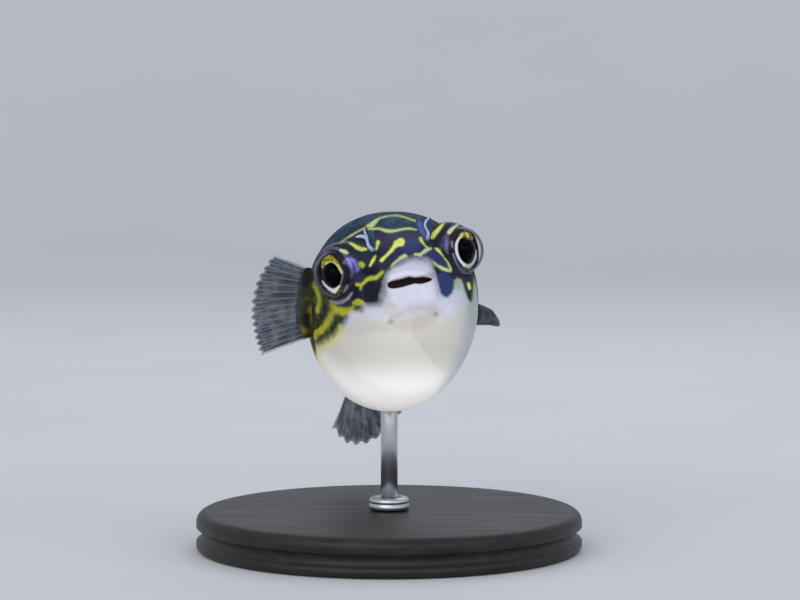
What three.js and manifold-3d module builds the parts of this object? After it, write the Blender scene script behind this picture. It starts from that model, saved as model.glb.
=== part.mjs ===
// Freshwater pufferfish: a still, life-size display model of a figure-eight puffer hovering nose-up
// on a small stand. Millimetres, +Z up, the snout towards -Y, the fish's own left towards +X.
// The origin is the centre of the stand base's underside.
import * as THREE from 'three';
import { mergeVertices } from 'three/addons/utils/BufferGeometryUtils.js';
import Module from 'manifold-3d';

// ---- driving dimensions (mm, degrees) ----
const GAP = 0.22;                   // clearance between neighbouring pieces
const STANDARD_LENGTH = 52;         // snout tip to the root of the tail fin
const SNOUT_HEIGHT = 36;            // snout tip above the table
const PITCH = 12;                   // nose-up attitude of the whole fish
const BALANCE_POINT = 22;           // distance behind the snout that sits over the rod
const SWEEP = { slope: 0.30, reach: 24 };      // body bend towards the fish's right ...
const SETTLE = { start: 34, rate: 0.009 };     // ... which the tail takes back
const DROOP = { start: 30, rate: 0.005 };      // sag of the tail behind the belly

const FIRST_RING = 0.02;            // the snout's front facet
const JAW_END = 5;                  // rear of the snout pieces
const GILL = 15.5;                  // gill line, where the head ends
const TRUNK_END = 37;               // rear of the belly cavity
const FLANK_LEVEL = 0.4;            // height of the border between back and belly
const MOUTH = { half: 2.6, opening: 0.62, level: 0.18, notch: 0.22 };

const EYE = { side: 7.7, back: 9.3, up: 4.0, radius: 3.08, outward: 55, downward: 6 };
const IRIS = { plane: 0.95, outer: 2.62, inner: 1.66, depth: 0.55, edge: 0.25, crest: 0.47 };
const PUPIL = { radius: 1.44, rise: 0.33, bulge: 0.85, steps: 4 };
const BROW = { radius: 3.5, sink: 1.6 };

const FIN_EDGE = 0.5;               // thickness of every fin at its rim
const FIN_ROOT = 0.8;               // thickness of every fin where it leaves the body
const FIN_SPLIT = 0.26;             // share of a fin's length that is fleshy base
const RAY_HEIGHT = 0.14;            // how far a ray stands out of its membrane
const RAYS = { pectoral: 9, dorsal: 7, anal: 8, caudal: 7 };
const LOBE = { pectoral: 2.4, dorsal: 1.8, anal: 1.8 };   // fullness of the fleshy fin bases
const FIN_LENGTH = { pectoral: 9, dorsal: 7.4, anal: 10 };
const ROOT_DEPTH = { pectoral: 0.9, median: 0.7 };        // how far a fin's root starts in the flesh
const DORSAL = { front: 36.2, rear: 42, lean: 56, spread: 16, aside: 16, taper: 0.42 };
const CAUDAL = { length: 13, spread: 11, round: 0.13, inset: 0.3, swing: 0.8 };

const BASE = { radius: 25, height: 5, bevel: 0.9, facets: 48 };
const ROD = { radius: 1.1, socket: 3, entry: 3.2, facets: 20 };
const COLLAR = { radius: 2.6, height: 1.6, bevel: 0.4, facets: 24 };

const MARGIN = 0.5;                 // how far a cutter runs past what it cuts
const AROUND = 36;                  // facets around the body
const EYE_FACETS = 20;

// Body sections along the fish: distance behind the snout, half width, top, bottom, height of the
// widest level, roundness above and below it (2 is an ellipse) and the twist about the long axis.
const SECTIONS = [
  { y: 0, half: 0, top: 0.1, bottom: 0.1, wide: 0.1, upper: 2, lower: 2, roll: -8 },
  { y: 0.35, half: 2.25, top: 2, bottom: -2.2, wide: 0.1, upper: 2.2, lower: 2.2, roll: -8 },
  { y: 1.2, half: 3.3, top: 3, bottom: -3.4, wide: 0, upper: 2.2, lower: 2.2, roll: -8.4 },
  { y: 2.4, half: 4, top: 3.7, bottom: -4.5, wide: 0, upper: 2.1, lower: 2.1, roll: -8.9 },
  { y: 5, half: 6, top: 5.5, bottom: -7.1, wide: -0.2, upper: 2.1, lower: 2.1, roll: -9.8 },
  { y: 9.5, half: 8.4, top: 7.7, bottom: -10.4, wide: -0.2, upper: 2.2, lower: 2.05, roll: -10.8 },
  { y: 14, half: 9.9, top: 10.2, bottom: -12.6, wide: 0.3, upper: 2.2, lower: 2, roll: -7 },
  { y: 20, half: 10.6, top: 12.1, bottom: -13.7, wide: 0.6, upper: 2.2, lower: 2, roll: -1.5 },
  { y: 26, half: 10.1, top: 12.4, bottom: -13, wide: 0.8, upper: 2.1, lower: 2, roll: -0.8 },
  { y: 32, half: 8.4, top: 11.2, bottom: -10.2, wide: 1, upper: 2, lower: 2, roll: -0.5 },
  { y: 38, half: 5.9, top: 9.2, bottom: -6.2, wide: 1.4, upper: 2, lower: 2, roll: -0.3 },
  { y: 44, half: 3.7, top: 7.3, bottom: -3, wide: 1.9, upper: 2, lower: 2, roll: 0 },
  { y: STANDARD_LENGTH, half: 1.5, top: 5.9, bottom: -1.6, wide: 2.1, upper: 2, lower: 2, roll: 0 },
];

const radians = THREE.MathUtils.degToRad;
const vector = (x, y, z) => new THREE.Vector3(x, y, z);

// ---- the body surface ----

// Monotone cubic through the sections' values, even in the square root of the distance, so that the
// snout closes as a round end.
function along(key, y) {
  const xs = SECTIONS.map((section) => Math.sqrt(section.y));
  const ys = SECTIONS.map((section) => section[key]);
  const last = xs.length - 1;
  const slope = (i) => (ys[i + 1] - ys[i]) / (xs[i + 1] - xs[i]);
  const tangent = (i) => {
    if (i === 0) return slope(0);
    if (i === last) return slope(last - 1);
    const before = slope(i - 1);
    const after = slope(i);
    if (before * after <= 0) return 0;
    const near = xs[i] - xs[i - 1];
    const far = xs[i + 1] - xs[i];
    return (3 * (near + far)) / ((2 * far + near) / before + (far + 2 * near) / after);
  };
  const x = Math.sqrt(THREE.MathUtils.clamp(y, 0, STANDARD_LENGTH));
  const i = Math.max(0, Math.min(last - 1, xs.findIndex((value) => value >= x) - 1));
  const step = xs[i + 1] - xs[i];
  const t = (x - xs[i]) / step;
  return (2 * t ** 3 - 3 * t ** 2 + 1) * ys[i] + (t ** 3 - 2 * t ** 2 + t) * step * tangent(i)
    + (3 * t ** 2 - 2 * t ** 3) * ys[i + 1] + (t ** 3 - t ** 2) * step * tangent(i + 1);
}

// Bends a point of the straight fish into its pose: twist, sideways sweep and tail droop.
function pose(x, y, z) {
  const roll = radians(along('roll', y));
  const aside = SWEEP.slope * (Math.hypot(y, SWEEP.reach) - SWEEP.reach)
    - SETTLE.rate * Math.max(0, y - SETTLE.start) ** 2;
  const sag = DROOP.rate * Math.max(0, y - DROOP.start) ** 2;
  const turnedX = x * Math.cos(roll) + z * Math.sin(roll);
  const turnedZ = z * Math.cos(roll) - x * Math.sin(roll);
  return vector(turnedX - aside, y, turnedZ - sag);
}

// A point on the body at a distance y and an angle (0 the fish's left, 90 the back), grown by swell.
function bodyPoint(y, angle, swell = 0) {
  const across = Math.cos(angle);
  const rise = Math.sin(angle);
  const power = 2 / along(rise >= 0 ? 'upper' : 'lower', y);
  const half = along('half', y) + swell;
  const wide = along('wide', y);
  const limit = rise >= 0 ? along('top', y) + swell : along('bottom', y) - swell;
  const x = half * Math.sign(across) * Math.abs(across) ** power;
  return pose(x, y, wide + (limit - wide) * Math.abs(rise) ** power);
}

// ---- closed meshes ----

function meshFrom(points, faces) {
  const geometry = new THREE.BufferGeometry();
  geometry.setAttribute('position', new THREE.Float32BufferAttribute(points.flatMap((p) => p.toArray()), 3));
  geometry.setIndex(faces.flat());
  return geometry;
}

// A closed tube through rings of points that run anticlockwise seen from the far end.
function loft(rings) {
  const count = rings[0].length;
  const points = rings.flat();
  const middle = (ring) => ring.reduce((sum, p) => sum.add(p), vector(0, 0, 0)).divideScalar(count);
  const start = points.push(middle(rings[0])) - 1;
  const end = points.push(middle(rings.at(-1))) - 1;
  const lastRing = (rings.length - 1) * count;
  const faces = [];
  for (let i = 0; i < count; i += 1) {
    const next = (i + 1) % count;
    faces.push([start, next, i], [end, lastRing + i, lastRing + next]);
    for (let ring = 0; ring < lastRing; ring += count) {
      faces.push([ring + i, ring + next, ring + count + i]);
      faces.push([ring + next, ring + count + next, ring + count + i]);
    }
  }
  return meshFrom(points, faces);
}

// A thin curved plate around the middle surface (u, v), both 0 to 1.
function plate(surface, columns, rows, thickness) {
  const front = [];
  const back = [];
  const nudge = 0.001;
  for (let j = 0; j <= rows; j += 1) {
    for (let i = 0; i <= columns; i += 1) {
      const [u, v] = [i / columns, j / rows];
      const alongU = surface(u + nudge, v).sub(surface(u - nudge, v));
      const alongV = surface(u, v + nudge).sub(surface(u, v - nudge));
      const offset = alongU.cross(alongV).normalize().multiplyScalar(thickness(u, v) / 2);
      front.push(surface(u, v).add(offset));
      back.push(surface(u, v).sub(offset));
    }
  }
  const size = front.length;
  const at = (i, j) => j * (columns + 1) + i;
  const faces = [];
  const quad = (a, b, c, d) => faces.push([a, b, c], [a, c, d]);
  for (let j = 0; j < rows; j += 1) {
    for (let i = 0; i < columns; i += 1) {
      quad(at(i, j), at(i + 1, j), at(i + 1, j + 1), at(i, j + 1));
      quad(size + at(i, j), size + at(i, j + 1), size + at(i + 1, j + 1), size + at(i + 1, j));
    }
  }
  const wall = (a, b) => quad(b, a, size + a, size + b);
  for (let i = 0; i < columns; i += 1) {
    wall(at(i, 0), at(i + 1, 0));
    wall(at(i + 1, rows), at(i, rows));
  }
  for (let j = 0; j < rows; j += 1) {
    wall(at(0, j + 1), at(0, j));
    wall(at(columns, j), at(columns, j + 1));
  }
  return meshFrom([...front, ...back], faces);
}

// ---- joining and cutting ----

const wasm = await Module();
wasm.setup();

function solid(geometry) {
  const bare = geometry.clone();
  bare.deleteAttribute('normal');
  bare.deleteAttribute('uv');
  const merged = mergeVertices(bare, 1e-5);
  return new wasm.Manifold(new wasm.Mesh({
    numProp: 3,
    vertProperties: merged.attributes.position.array,
    triVerts: new Uint32Array(merged.index.array),
  }));
}

function surfaceOf(manifold) {
  const mesh = manifold.getMesh();
  const geometry = new THREE.BufferGeometry();
  geometry.setAttribute('position', new THREE.BufferAttribute(mesh.vertProperties, 3));
  geometry.setIndex(new THREE.BufferAttribute(mesh.triVerts, 1));
  return geometry;
}

// ---- solids of the fish ----

function bodyRings(from, to, rings, swell = 0) {
  return Array.from({ length: rings + 1 }, (_, row) => {
    const y = THREE.MathUtils.lerp(Math.sqrt(from), Math.sqrt(to), row / rings) ** 2;
    return Array.from({ length: AROUND }, (__, i) => bodyPoint(y, (-2 * Math.PI * i) / AROUND, swell));
  });
}

const evenSteps = (reach, count) => Array.from({ length: count + 1 }, (_, i) => reach * ((2 * i) / count - 1));
const LIP_STEPS = [-6.6, -4.6, ...evenSteps(MOUTH.half, 12), 4.6, 6.6];
const FLANK_STEPS = evenSteps(13.2, 12);

// The region above (side 1) or below (side -1) a border over the places across, from y to y.
function region(from, to, side, places, border) {
  const reach = 30;
  const steps = 8;
  return solid(loft(Array.from({ length: steps + 1 }, (_, row) => {
    const y = THREE.MathUtils.lerp(from, to, row / steps);
    const edge = [-reach, ...places, reach].map((x) => pose(x, y, border(x)));
    const far = [pose(reach, y, side * reach), pose(-reach, y, side * reach)];
    const ring = [...edge, ...far];
    return side > 0 ? ring.reverse() : ring;
  })));
}

const FLESH_ROWS = { snout: 7, head: 7, trunk: 11, tail: 7, whole: 22 };
const snout = solid(loft(bodyRings(FIRST_RING, JAW_END, FLESH_ROWS.snout)));
const trunk = solid(loft(bodyRings(GILL + GAP, TRUNK_END, FLESH_ROWS.trunk)));
const envelope = solid(loft(bodyRings(FIRST_RING, STANDARD_LENGTH, FLESH_ROWS.whole, GAP)));

// The lips part in a shallow bow, raised in the middle; beyond the corners the cut closes to a thin line.
function lip(side) {
  return (x) => {
    const inside = Math.abs(x) < MOUTH.half;
    const half = inside ? (MOUTH.opening / 2) * Math.sqrt(1 - (x / MOUTH.half) ** 2) : 0;
    const notch = inside ? MOUTH.notch * Math.cos((0.5 * Math.PI * x) / MOUTH.half) ** 4 : 0;
    return MOUTH.level + notch + side * Math.max(half, GAP / 2);
  };
}

const upperJaw = snout.intersect(region(-MARGIN, JAW_END + MARGIN, 1, LIP_STEPS, lip(1)));
const lowerJaw = snout.intersect(region(-MARGIN, JAW_END + MARGIN, -1, LIP_STEPS, lip(-1)));

const flank = (side) =>
  region(GILL - MARGIN, TRUNK_END + MARGIN, side, FLANK_STEPS, () => FLANK_LEVEL + (side * GAP) / 2);
const back = trunk.intersect(flank(1));
const tail = solid(loft(bodyRings(TRUNK_END + GAP, STANDARD_LENGTH - GAP, FLESH_ROWS.tail)));

// ---- eyes ----

const headRoll = radians(along('roll', EYE.back));

function eyePlace(side) {
  const outward = radians(EYE.outward);
  const downward = radians(EYE.downward);
  const axis = vector(side * Math.sin(outward), -Math.cos(outward), -Math.sin(downward));
  axis.applyAxisAngle(vector(0, 1, 0), headRoll).normalize();
  const centre = pose(side * EYE.side, EYE.back, EYE.up);
  const turn = new THREE.Quaternion().setFromUnitVectors(vector(0, 1, 0), axis);
  return { axis, centre, turn };
}

// A stretch of a circle between two angles above its equator, as radius and height.
function arc(radius, from, to, steps) {
  return Array.from({ length: steps + 1 }, (_, i) => {
    const angle = THREE.MathUtils.lerp(from, to, i / steps);
    return new THREE.Vector2(radius * Math.cos(angle), radius * Math.sin(angle));
  });
}

function ball(radius, centre, segments) {
  const shape = new THREE.SphereGeometry(radius, segments, segments / 2);
  return solid(shape.translate(...centre.toArray()));
}

// The eyeball, cut flat where the iris lies.
function eyeball() {
  const rim = Math.asin(IRIS.plane / EYE.radius);
  const profile = arc(EYE.radius, -Math.PI / 2, rim, 9);
  profile[0].x = 0;
  return new THREE.LatheGeometry([...profile, new THREE.Vector2(0, IRIS.plane)], EYE_FACETS);
}

// The iris: a dished ring around the pupil.
function iris() {
  const low = IRIS.plane + GAP;
  const middle = (IRIS.inner + IRIS.outer) / 2;
  const corners = [
    [IRIS.inner, low], [IRIS.outer, low], [IRIS.outer, low + IRIS.edge],
    [middle, low + IRIS.crest], [IRIS.inner, low + IRIS.depth], [IRIS.inner, low],
  ];
  return new THREE.LatheGeometry(corners.map(([r, h]) => new THREE.Vector2(r, h)), EYE_FACETS);
}

// The pupil: the bulging face of the lens.
function pupil() {
  const low = IRIS.plane + GAP;
  const dome = arc(1, 0, Math.PI / 2, PUPIL.steps).map(({ x, y }) =>
    new THREE.Vector2(PUPIL.radius * x, low + PUPIL.rise + PUPIL.bulge * y));
  dome.at(-1).x = 0;
  const foot = [new THREE.Vector2(0, low), new THREE.Vector2(PUPIL.radius, low)];
  return new THREE.LatheGeometry([...foot, ...dome], EYE_FACETS);
}

// ---- head, with a raised orbit around each eye ----

const headBlock = solid(loft(bodyRings(JAW_END + GAP, GILL, FLESH_ROWS.head)));
const withOrbits = [1, -1].reduce((flesh, side) => {
  const { axis, centre } = eyePlace(side);
  const brow = ball(BROW.radius, centre.clone().addScaledVector(axis, -BROW.sink), 16);
  return flesh.add(brow);
}, headBlock);
const head = [1, -1].reduce(
  (flesh, side) => flesh.subtract(ball(EYE.radius + GAP, eyePlace(side).centre, 16)),
  withOrbits,
);

// ---- nostril tentacles: a short stem that forks into two flaps ----

function limb(points, startRadius, endRadius) {
  const curve = new THREE.CatmullRomCurve3(points);
  const steps = 4;
  const sides = 6;
  return solid(loft(Array.from({ length: steps + 1 }, (_, row) => {
    const t = row / steps;
    const heading = curve.getTangent(t);
    const aside = vector(0, 1, 0).cross(heading).normalize();
    const ahead = heading.clone().cross(aside);
    const radius = THREE.MathUtils.lerp(startRadius, endRadius, t);
    return Array.from({ length: sides }, (__, i) => {
      const angle = (-2 * Math.PI * i) / sides;
      return curve.getPoint(t).addScaledVector(aside, radius * Math.sin(angle))
        .addScaledVector(ahead, radius * Math.cos(angle));
    });
  })));
}

const STEM = { foot: 0.62, fork: 0.46 };        // radii of the stem
const FLAP = { fork: 0.44, tip: 0.26, overlap: 0.15 };
const TENTACLES = {
  right: {
    foot: vector(-4.7, 7.6, 4.3), fork: vector(-5.1, 5.9, 6.1),
    tips: [vector(-6.7, 5.5, 6.6), vector(-5.55, 5.0, 7.5)],
  },
  left: {
    foot: vector(2.2, 7.6, 5.6), fork: vector(1.95, 6.2, 7.3),
    tips: [vector(1.1, 5.1, 8.9), vector(2.65, 5.3, 8.9)],
  },
};

function tentacle({ foot, fork, tips }) {
  const stem = limb([foot, fork], STEM.foot, STEM.fork);
  const start = fork.clone().lerp(foot, FLAP.overlap);
  return tips.reduce((whole, tip) => {
    const knee = fork.clone().lerp(tip, 0.5).add(vector(0, 0.15, 0.1));
    return whole.add(limb([start, knee, tip], FLAP.fork, FLAP.tip));
  }, stem).subtract(envelope);
}

// ---- fins ----

// A fin's middle surface: u runs from the leading ray to the last, v from the root to the edge.
function finSurface(root, tips, bow) {
  const rim = new THREE.CatmullRomCurve3(tips);
  return (u, v) => {
    const start = root(u);
    const clamped = THREE.MathUtils.clamp(u, 0, 1);
    const end = rim.getPoint(clamped).addScaledVector(rim.getTangent(clamped), u - clamped);
    return start.lerp(end, v).addScaledVector(bow, 4 * v * (1 - v));
  };
}

// Raised rays over the membrane, and a thin rim.
function finThickness(rays, share) {
  return (u, v) => {
    const outward = THREE.MathUtils.lerp(share, 1, v);
    const ridge = RAY_HEIGHT * Math.cos(Math.PI * rays * 2 * u) * (1 - outward);
    return THREE.MathUtils.lerp(FIN_ROOT, FIN_EDGE, outward) + Math.max(0, ridge);
  };
}

// The fleshy lobe at a fin's root, fullest in the middle.
function lobeThickness(full) {
  return (u, v) => FIN_ROOT + (full - FIN_ROOT) * Math.sin(Math.PI * THREE.MathUtils.clamp(u, 0, 1)) * (1 - v);
}

// Splits a fin into its fleshy base and its rayed membrane, both clear of the body.
function finPair(kind, surface) {
  const rays = RAYS[kind];
  const gap = GAP / FIN_LENGTH[kind];
  const lobe = (u, v) => surface(u, v * FIN_SPLIT);
  const blade = (u, v) => surface(u, FIN_SPLIT + gap + v * (1 - FIN_SPLIT - gap));
  return {
    base: solid(plate(lobe, 10, 4, lobeThickness(LOBE[kind]))).subtract(envelope),
    fin: solid(plate(blade, rays * 2, 4, finThickness(rays, FIN_SPLIT))).subtract(envelope),
  };
}

// A fin root that runs over the body between two places, sunk a little into the flesh.
function rootLine(from, to, depth) {
  return (u) => bodyPoint(
    THREE.MathUtils.lerp(from.y, to.y, u),
    radians(THREE.MathUtils.lerp(from.angle, to.angle, u)),
    -depth,
  );
}

// The right pectoral fin is spread to the front; the left one is turned edge-on, in mid stroke.
const pectoralRight = finPair('pectoral', finSurface(
  rootLine({ y: 18.6, angle: 162 }, { y: 20.4, angle: 198 }, ROOT_DEPTH.pectoral),
  [vector(-17.6, 21.5, 6.9), vector(-19.7, 23.2, 3.8), vector(-20.5, 24.5, -0.1),
    vector(-20.2, 24.6, -3.4), vector(-19.2, 24.2, -6.1)],
  vector(0, -0.6, 0),
));

const pectoralLeft = finPair('pectoral', finSurface(
  rootLine({ y: 19.2, angle: 18 }, { y: 20.6, angle: -18 }, ROOT_DEPTH.pectoral),
  [vector(11.2, 22.3, 0.3), vector(12.1, 23.6, -0.6), vector(12.4, 25.4, -0.9),
    vector(12.1, 27.2, -0.7), vector(11.2, 28.2, -0.2)],
  vector(0.5, 0, 0),
));

// The anal fin hangs under the tail and swings towards the fish's right.
const anal = finPair('anal', finSurface(
  rootLine({ y: 38.5, angle: 270 }, { y: 44.2, angle: 270 }, ROOT_DEPTH.median),
  [vector(-0.9, 41.2, -11.9), vector(-3.0, 44.2, -14.1), vector(-5.8, 46.6, -15.6),
    vector(-8.6, 48.2, -15.6), vector(-10.6, 49.0, -13.2)],
  vector(0.2, 0, -0.3),
));

// The dorsal fin lies back and swings to the same side as the anal fin.
function dorsalTips() {
  return Array.from({ length: 5 }, (_, i) => {
    const u = i / 4;
    const start = bodyPoint(THREE.MathUtils.lerp(DORSAL.front, DORSAL.rear, u), Math.PI / 2);
    const lean = radians(DORSAL.lean + DORSAL.spread * u);
    const length = FIN_LENGTH.dorsal * (1 - DORSAL.taper * u * u);
    const aside = Math.sin(radians(DORSAL.aside * (1 + u)));
    return start.add(vector(-aside, Math.sin(lean), Math.cos(lean)).multiplyScalar(length));
  });
}

const dorsal = finPair('dorsal', finSurface(
  rootLine({ y: DORSAL.front, angle: 90 }, { y: DORSAL.rear, angle: 90 }, ROOT_DEPTH.median),
  dorsalTips(),
  vector(0.3, 0, 0.2),
));

// The tail fin: a rounded fan from the end of the tail's root.
function caudalFin() {
  const top = along('top', STANDARD_LENGTH) - CAUDAL.inset;
  const bottom = along('bottom', STANDARD_LENGTH) + CAUDAL.inset;
  const root = (u) => pose(0, STANDARD_LENGTH, THREE.MathUtils.lerp(top, bottom, u));
  const tips = Array.from({ length: 7 }, (_, i) => {
    const u = i / 6;
    const angle = radians(THREE.MathUtils.lerp(CAUDAL.spread, -CAUDAL.spread, u));
    const length = CAUDAL.length * (1 - CAUDAL.round * Math.abs(2 * u - 1) ** 2.5);
    return root(u).add(vector(CAUDAL.swing, length * Math.cos(angle), length * Math.sin(angle)));
  });
  return solid(plate(finSurface(root, tips, vector(-0.4, 0, 0)), RAYS.caudal * 2, 6,
    finThickness(RAYS.caudal, 0)));
}

// ---- the model ----

const paint = (color, roughness, metalness = 0) =>
  new THREE.MeshStandardMaterial({ color, roughness, metalness, side: THREE.DoubleSide });

function piece(name, geometry, material) {
  const mesh = new THREE.Mesh(geometry, material);
  mesh.name = name;
  return mesh;
}

const model = new THREE.Group();
const fish = new THREE.Group();
const balance = pose(0, BALANCE_POINT, 0);
fish.rotation.x = -radians(PITCH);
fish.position.set(-balance.x, -BALANCE_POINT * Math.cos(radians(PITCH)), SNOUT_HEIGHT);
model.add(fish);
model.updateMatrixWorld(true);

// The rod rises from a socket in the base into a socket in the belly.
const bellyBottom = bodyPoint(BALANCE_POINT, -Math.PI / 2).applyMatrix4(fish.matrixWorld).z;
const rodFoot = BASE.height - ROD.socket + GAP;
const rodTop = bellyBottom + ROD.entry;

function upright(radius, low, high) {
  const shape = new THREE.CylinderGeometry(radius, radius, high - low, ROD.facets);
  return shape.rotateX(Math.PI / 2).translate(0, 0, (low + high) / 2);
}

const toFish = fish.matrixWorld.clone().invert();
const bellySocket = solid(upright(ROD.radius + GAP, BASE.height, rodTop + GAP).applyMatrix4(toFish));
const belly = trunk.intersect(flank(-1)).subtract(bellySocket);

fish.add(
  piece('upper_jaw', surfaceOf(upperJaw), paint(0xc4c5d6, 0.42)),
  piece('lower_jaw', surfaceOf(lowerJaw), paint(0xdedfee, 0.42)),
  piece('head', surfaceOf(head), paint(0x37375f, 0.42)),
  piece('back', surfaceOf(back), paint(0x3c4a63, 0.45)),
  piece('belly', surfaceOf(belly), paint(0xd8d5d4, 0.5)),
  piece('tail_peduncle', surfaceOf(tail), paint(0x77796b, 0.45)),
);

for (const [name, side] of [['left', 1], ['right', -1]]) {
  const { centre, turn } = eyePlace(side);
  const socket = new THREE.Group();
  socket.position.copy(centre);
  socket.quaternion.copy(turn);
  socket.add(
    piece(`eyeball_${name}`, eyeball(), paint(0x4a4766, 0.3)),
    piece(`iris_${name}`, iris(), paint(0xc9b54a, 0.25, 0.4)),
    piece(`pupil_${name}`, pupil(), paint(0x050510, 0.08)),
  );
  fish.add(
    socket,
    piece(`nostril_${name}`, surfaceOf(tentacle(TENTACLES[name])), paint(0x9fb4dc, 0.4)),
  );
}

const fins = {
  pectoral_right: pectoralRight, pectoral_left: pectoralLeft, anal_fin: anal, dorsal_fin: dorsal,
};
for (const [name, { base, fin }] of Object.entries(fins)) {
  const blade = name.endsWith('_fin') ? name : `${name}_fin`;
  fish.add(
    piece(`${name.replace('_fin', '')}_base`, surfaceOf(base), paint(0x8f8b45, 0.5)),
    piece(blade, surfaceOf(fin), paint(0x7f8aa0, 0.4)),
  );
}
fish.add(piece('caudal_fin', surfaceOf(caudalFin()), paint(0x7f8aa0, 0.4)));

// ---- display stand ----

function turned(corners, facets) {
  const profile = corners.map(([radius, height]) => new THREE.Vector2(radius, height));
  return new THREE.LatheGeometry(profile, facets).rotateX(Math.PI / 2);
}

const { radius: wide, height: tall, bevel } = BASE;
const disc = turned([[0, 0], [wide, 0], [wide, tall - bevel], [wide - bevel, tall], [0, tall]], BASE.facets);
const rodHole = solid(upright(ROD.radius + GAP, rodFoot - GAP, BASE.height + MARGIN));
const collarProfile = [
  [ROD.radius + GAP, 0], [COLLAR.radius, 0], [COLLAR.radius, COLLAR.height - COLLAR.bevel],
  [COLLAR.radius - COLLAR.bevel, COLLAR.height], [ROD.radius + GAP, COLLAR.height],
  [ROD.radius + GAP, 0],
];
const collar = turned(collarProfile, COLLAR.facets).translate(0, 0, BASE.height + GAP / 2);

model.add(
  piece('stand_base', surfaceOf(solid(disc).subtract(rodHole)), paint(0x17171a, 0.4)),
  piece('stand_collar', collar, paint(0xc9ccd0, 0.3, 1)),
  piece('stand_rod', upright(ROD.radius, rodFoot, rodTop), paint(0xc9ccd0, 0.3, 1)),
);

export default model;
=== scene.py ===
"""A life-size freshwater pufferfish on a display stand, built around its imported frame."""

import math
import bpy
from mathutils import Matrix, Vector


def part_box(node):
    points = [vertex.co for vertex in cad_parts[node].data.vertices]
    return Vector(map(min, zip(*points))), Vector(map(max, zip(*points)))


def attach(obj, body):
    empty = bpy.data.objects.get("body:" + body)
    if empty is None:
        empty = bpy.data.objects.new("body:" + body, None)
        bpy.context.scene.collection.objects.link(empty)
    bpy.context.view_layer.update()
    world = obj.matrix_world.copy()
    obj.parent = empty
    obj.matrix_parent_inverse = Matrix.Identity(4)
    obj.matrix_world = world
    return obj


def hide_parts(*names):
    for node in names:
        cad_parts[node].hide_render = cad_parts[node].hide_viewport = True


bl_info = {
    "name": "Pufferfish Display Model",
    "version": (1, 0, 0),
    "blender": (4, 5, 0),
    "location": "3D View > Sidebar > Pufferfish",
    "description": "Skin, eyes, nostril flaps, fins and stand of a figure-eight pufferfish",
    "category": "Object",
}

import bpy
import numpy as np
from mathutils import Vector

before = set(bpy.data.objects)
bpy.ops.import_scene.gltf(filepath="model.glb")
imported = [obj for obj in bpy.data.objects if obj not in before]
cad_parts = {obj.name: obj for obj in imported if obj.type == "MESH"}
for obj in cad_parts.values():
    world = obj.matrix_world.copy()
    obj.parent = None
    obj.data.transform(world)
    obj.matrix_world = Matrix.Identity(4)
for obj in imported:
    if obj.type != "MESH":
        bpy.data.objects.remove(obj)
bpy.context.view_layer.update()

MM = 0.001
BODY = "root"

# ---- the fish's shape in millimetres, the same as its solids ----
# The fish's own axes: x to its left, y from the snout to the tail, z to its back.
STANDARD_LENGTH = 52.0
PITCH = math.radians(12.0)
SNOUT_HEIGHT = 36.0
BALANCE_POINT = 22.0
SWEEP_SLOPE, SWEEP_REACH = 0.30, 24.0
SETTLE_START, SETTLE_RATE = 34.0, 0.009
DROOP_START, DROOP_RATE = 30.0, 0.005
SECTIONS = {
    "y": (0, 0.35, 1.2, 2.4, 5, 9.5, 14, 20, 26, 32, 38, 44, STANDARD_LENGTH),
    "half": (0, 2.25, 3.3, 4, 6, 8.4, 9.9, 10.6, 10.1, 8.4, 5.9, 3.7, 1.5),
    "top": (0.1, 2, 3, 3.7, 5.5, 7.7, 10.2, 12.1, 12.4, 11.2, 9.2, 7.3, 5.9),
    "bottom": (0.1, -2.2, -3.4, -4.5, -7.1, -10.4, -12.6, -13.7, -13, -10.2, -6.2, -3, -1.6),
    "wide": (0.1, 0.1, 0, 0, -0.2, -0.2, 0.3, 0.6, 0.8, 1, 1.4, 1.9, 2.1),
    "upper": (2, 2.2, 2.2, 2.1, 2.1, 2.2, 2.2, 2.2, 2.1, 2, 2, 2, 2),
    "lower": (2, 2.2, 2.2, 2.1, 2.1, 2.05, 2, 2, 2, 2, 2, 2, 2),
    "roll": (-8, -8, -8.4, -8.9, -9.8, -10.8, -7, -1.5, -0.8, -0.5, -0.3, 0, 0),
}

EYE_SIDE, EYE_BACK, EYE_UP = 7.7, 9.3, 4.0
EYE_RADIUS = 3.08
EYE_OUTWARD, EYE_DOWNWARD = math.radians(55.0), math.radians(6.0)
BROW_RADIUS, BROW_SINK, BROW_BLEND = 3.5, 1.6, 0.9

MOUTH_HALF, MOUTH_OPEN, MOUTH_DEPTH = 2.72, 0.60, 1.8
MOUTH_SIDE, MOUTH_LEVEL = 0.14, 0.24

# The front drawing: the fish seen from its viewer, DRAWING_SCALE mm to the pixel at the snout tip,
# on a sheet 800 pixels wide and 600 high, with the snout tip at SNOUT_PIXEL.
SHEET = (800, 600)
SNOUT_PIXEL = (409.0, 283.0)
DRAWING_SCALE = 0.122
VIEW_DISTANCE = 370.0
VIEW_ELEVATION = math.radians(4.0)
SENSOR = 36.0


# ---- small helpers ----

def linear(hex_colour):
    """An sRGB hex colour as linear red, green, blue."""
    parts = [int(hex_colour[i:i + 2], 16) / 255 for i in (1, 3, 5)]
    return [p / 12.92 if p <= 0.04045 else ((p + 0.055) / 1.055) ** 2.4 for p in parts]


def smooth(value, low, high):
    """0 below low, 1 above high and an even slope between."""
    t = np.clip((value - low) / (high - low), 0, 1)
    return t * t * (3 - 2 * t)


def dip(distance, width):
    """1 at a mark's edge and inside it, fading away over a width outside it."""
    return np.exp(-(np.maximum(distance, 0) / width) ** 2)


def either(first, second):
    """Two covers laid over each other."""
    return 1 - (1 - first) * (1 - second)


def unit(vectors):
    """The vectors, made one long."""
    return vectors / np.maximum(np.linalg.norm(vectors, axis=-1, keepdims=True), 1e-12)


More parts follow.
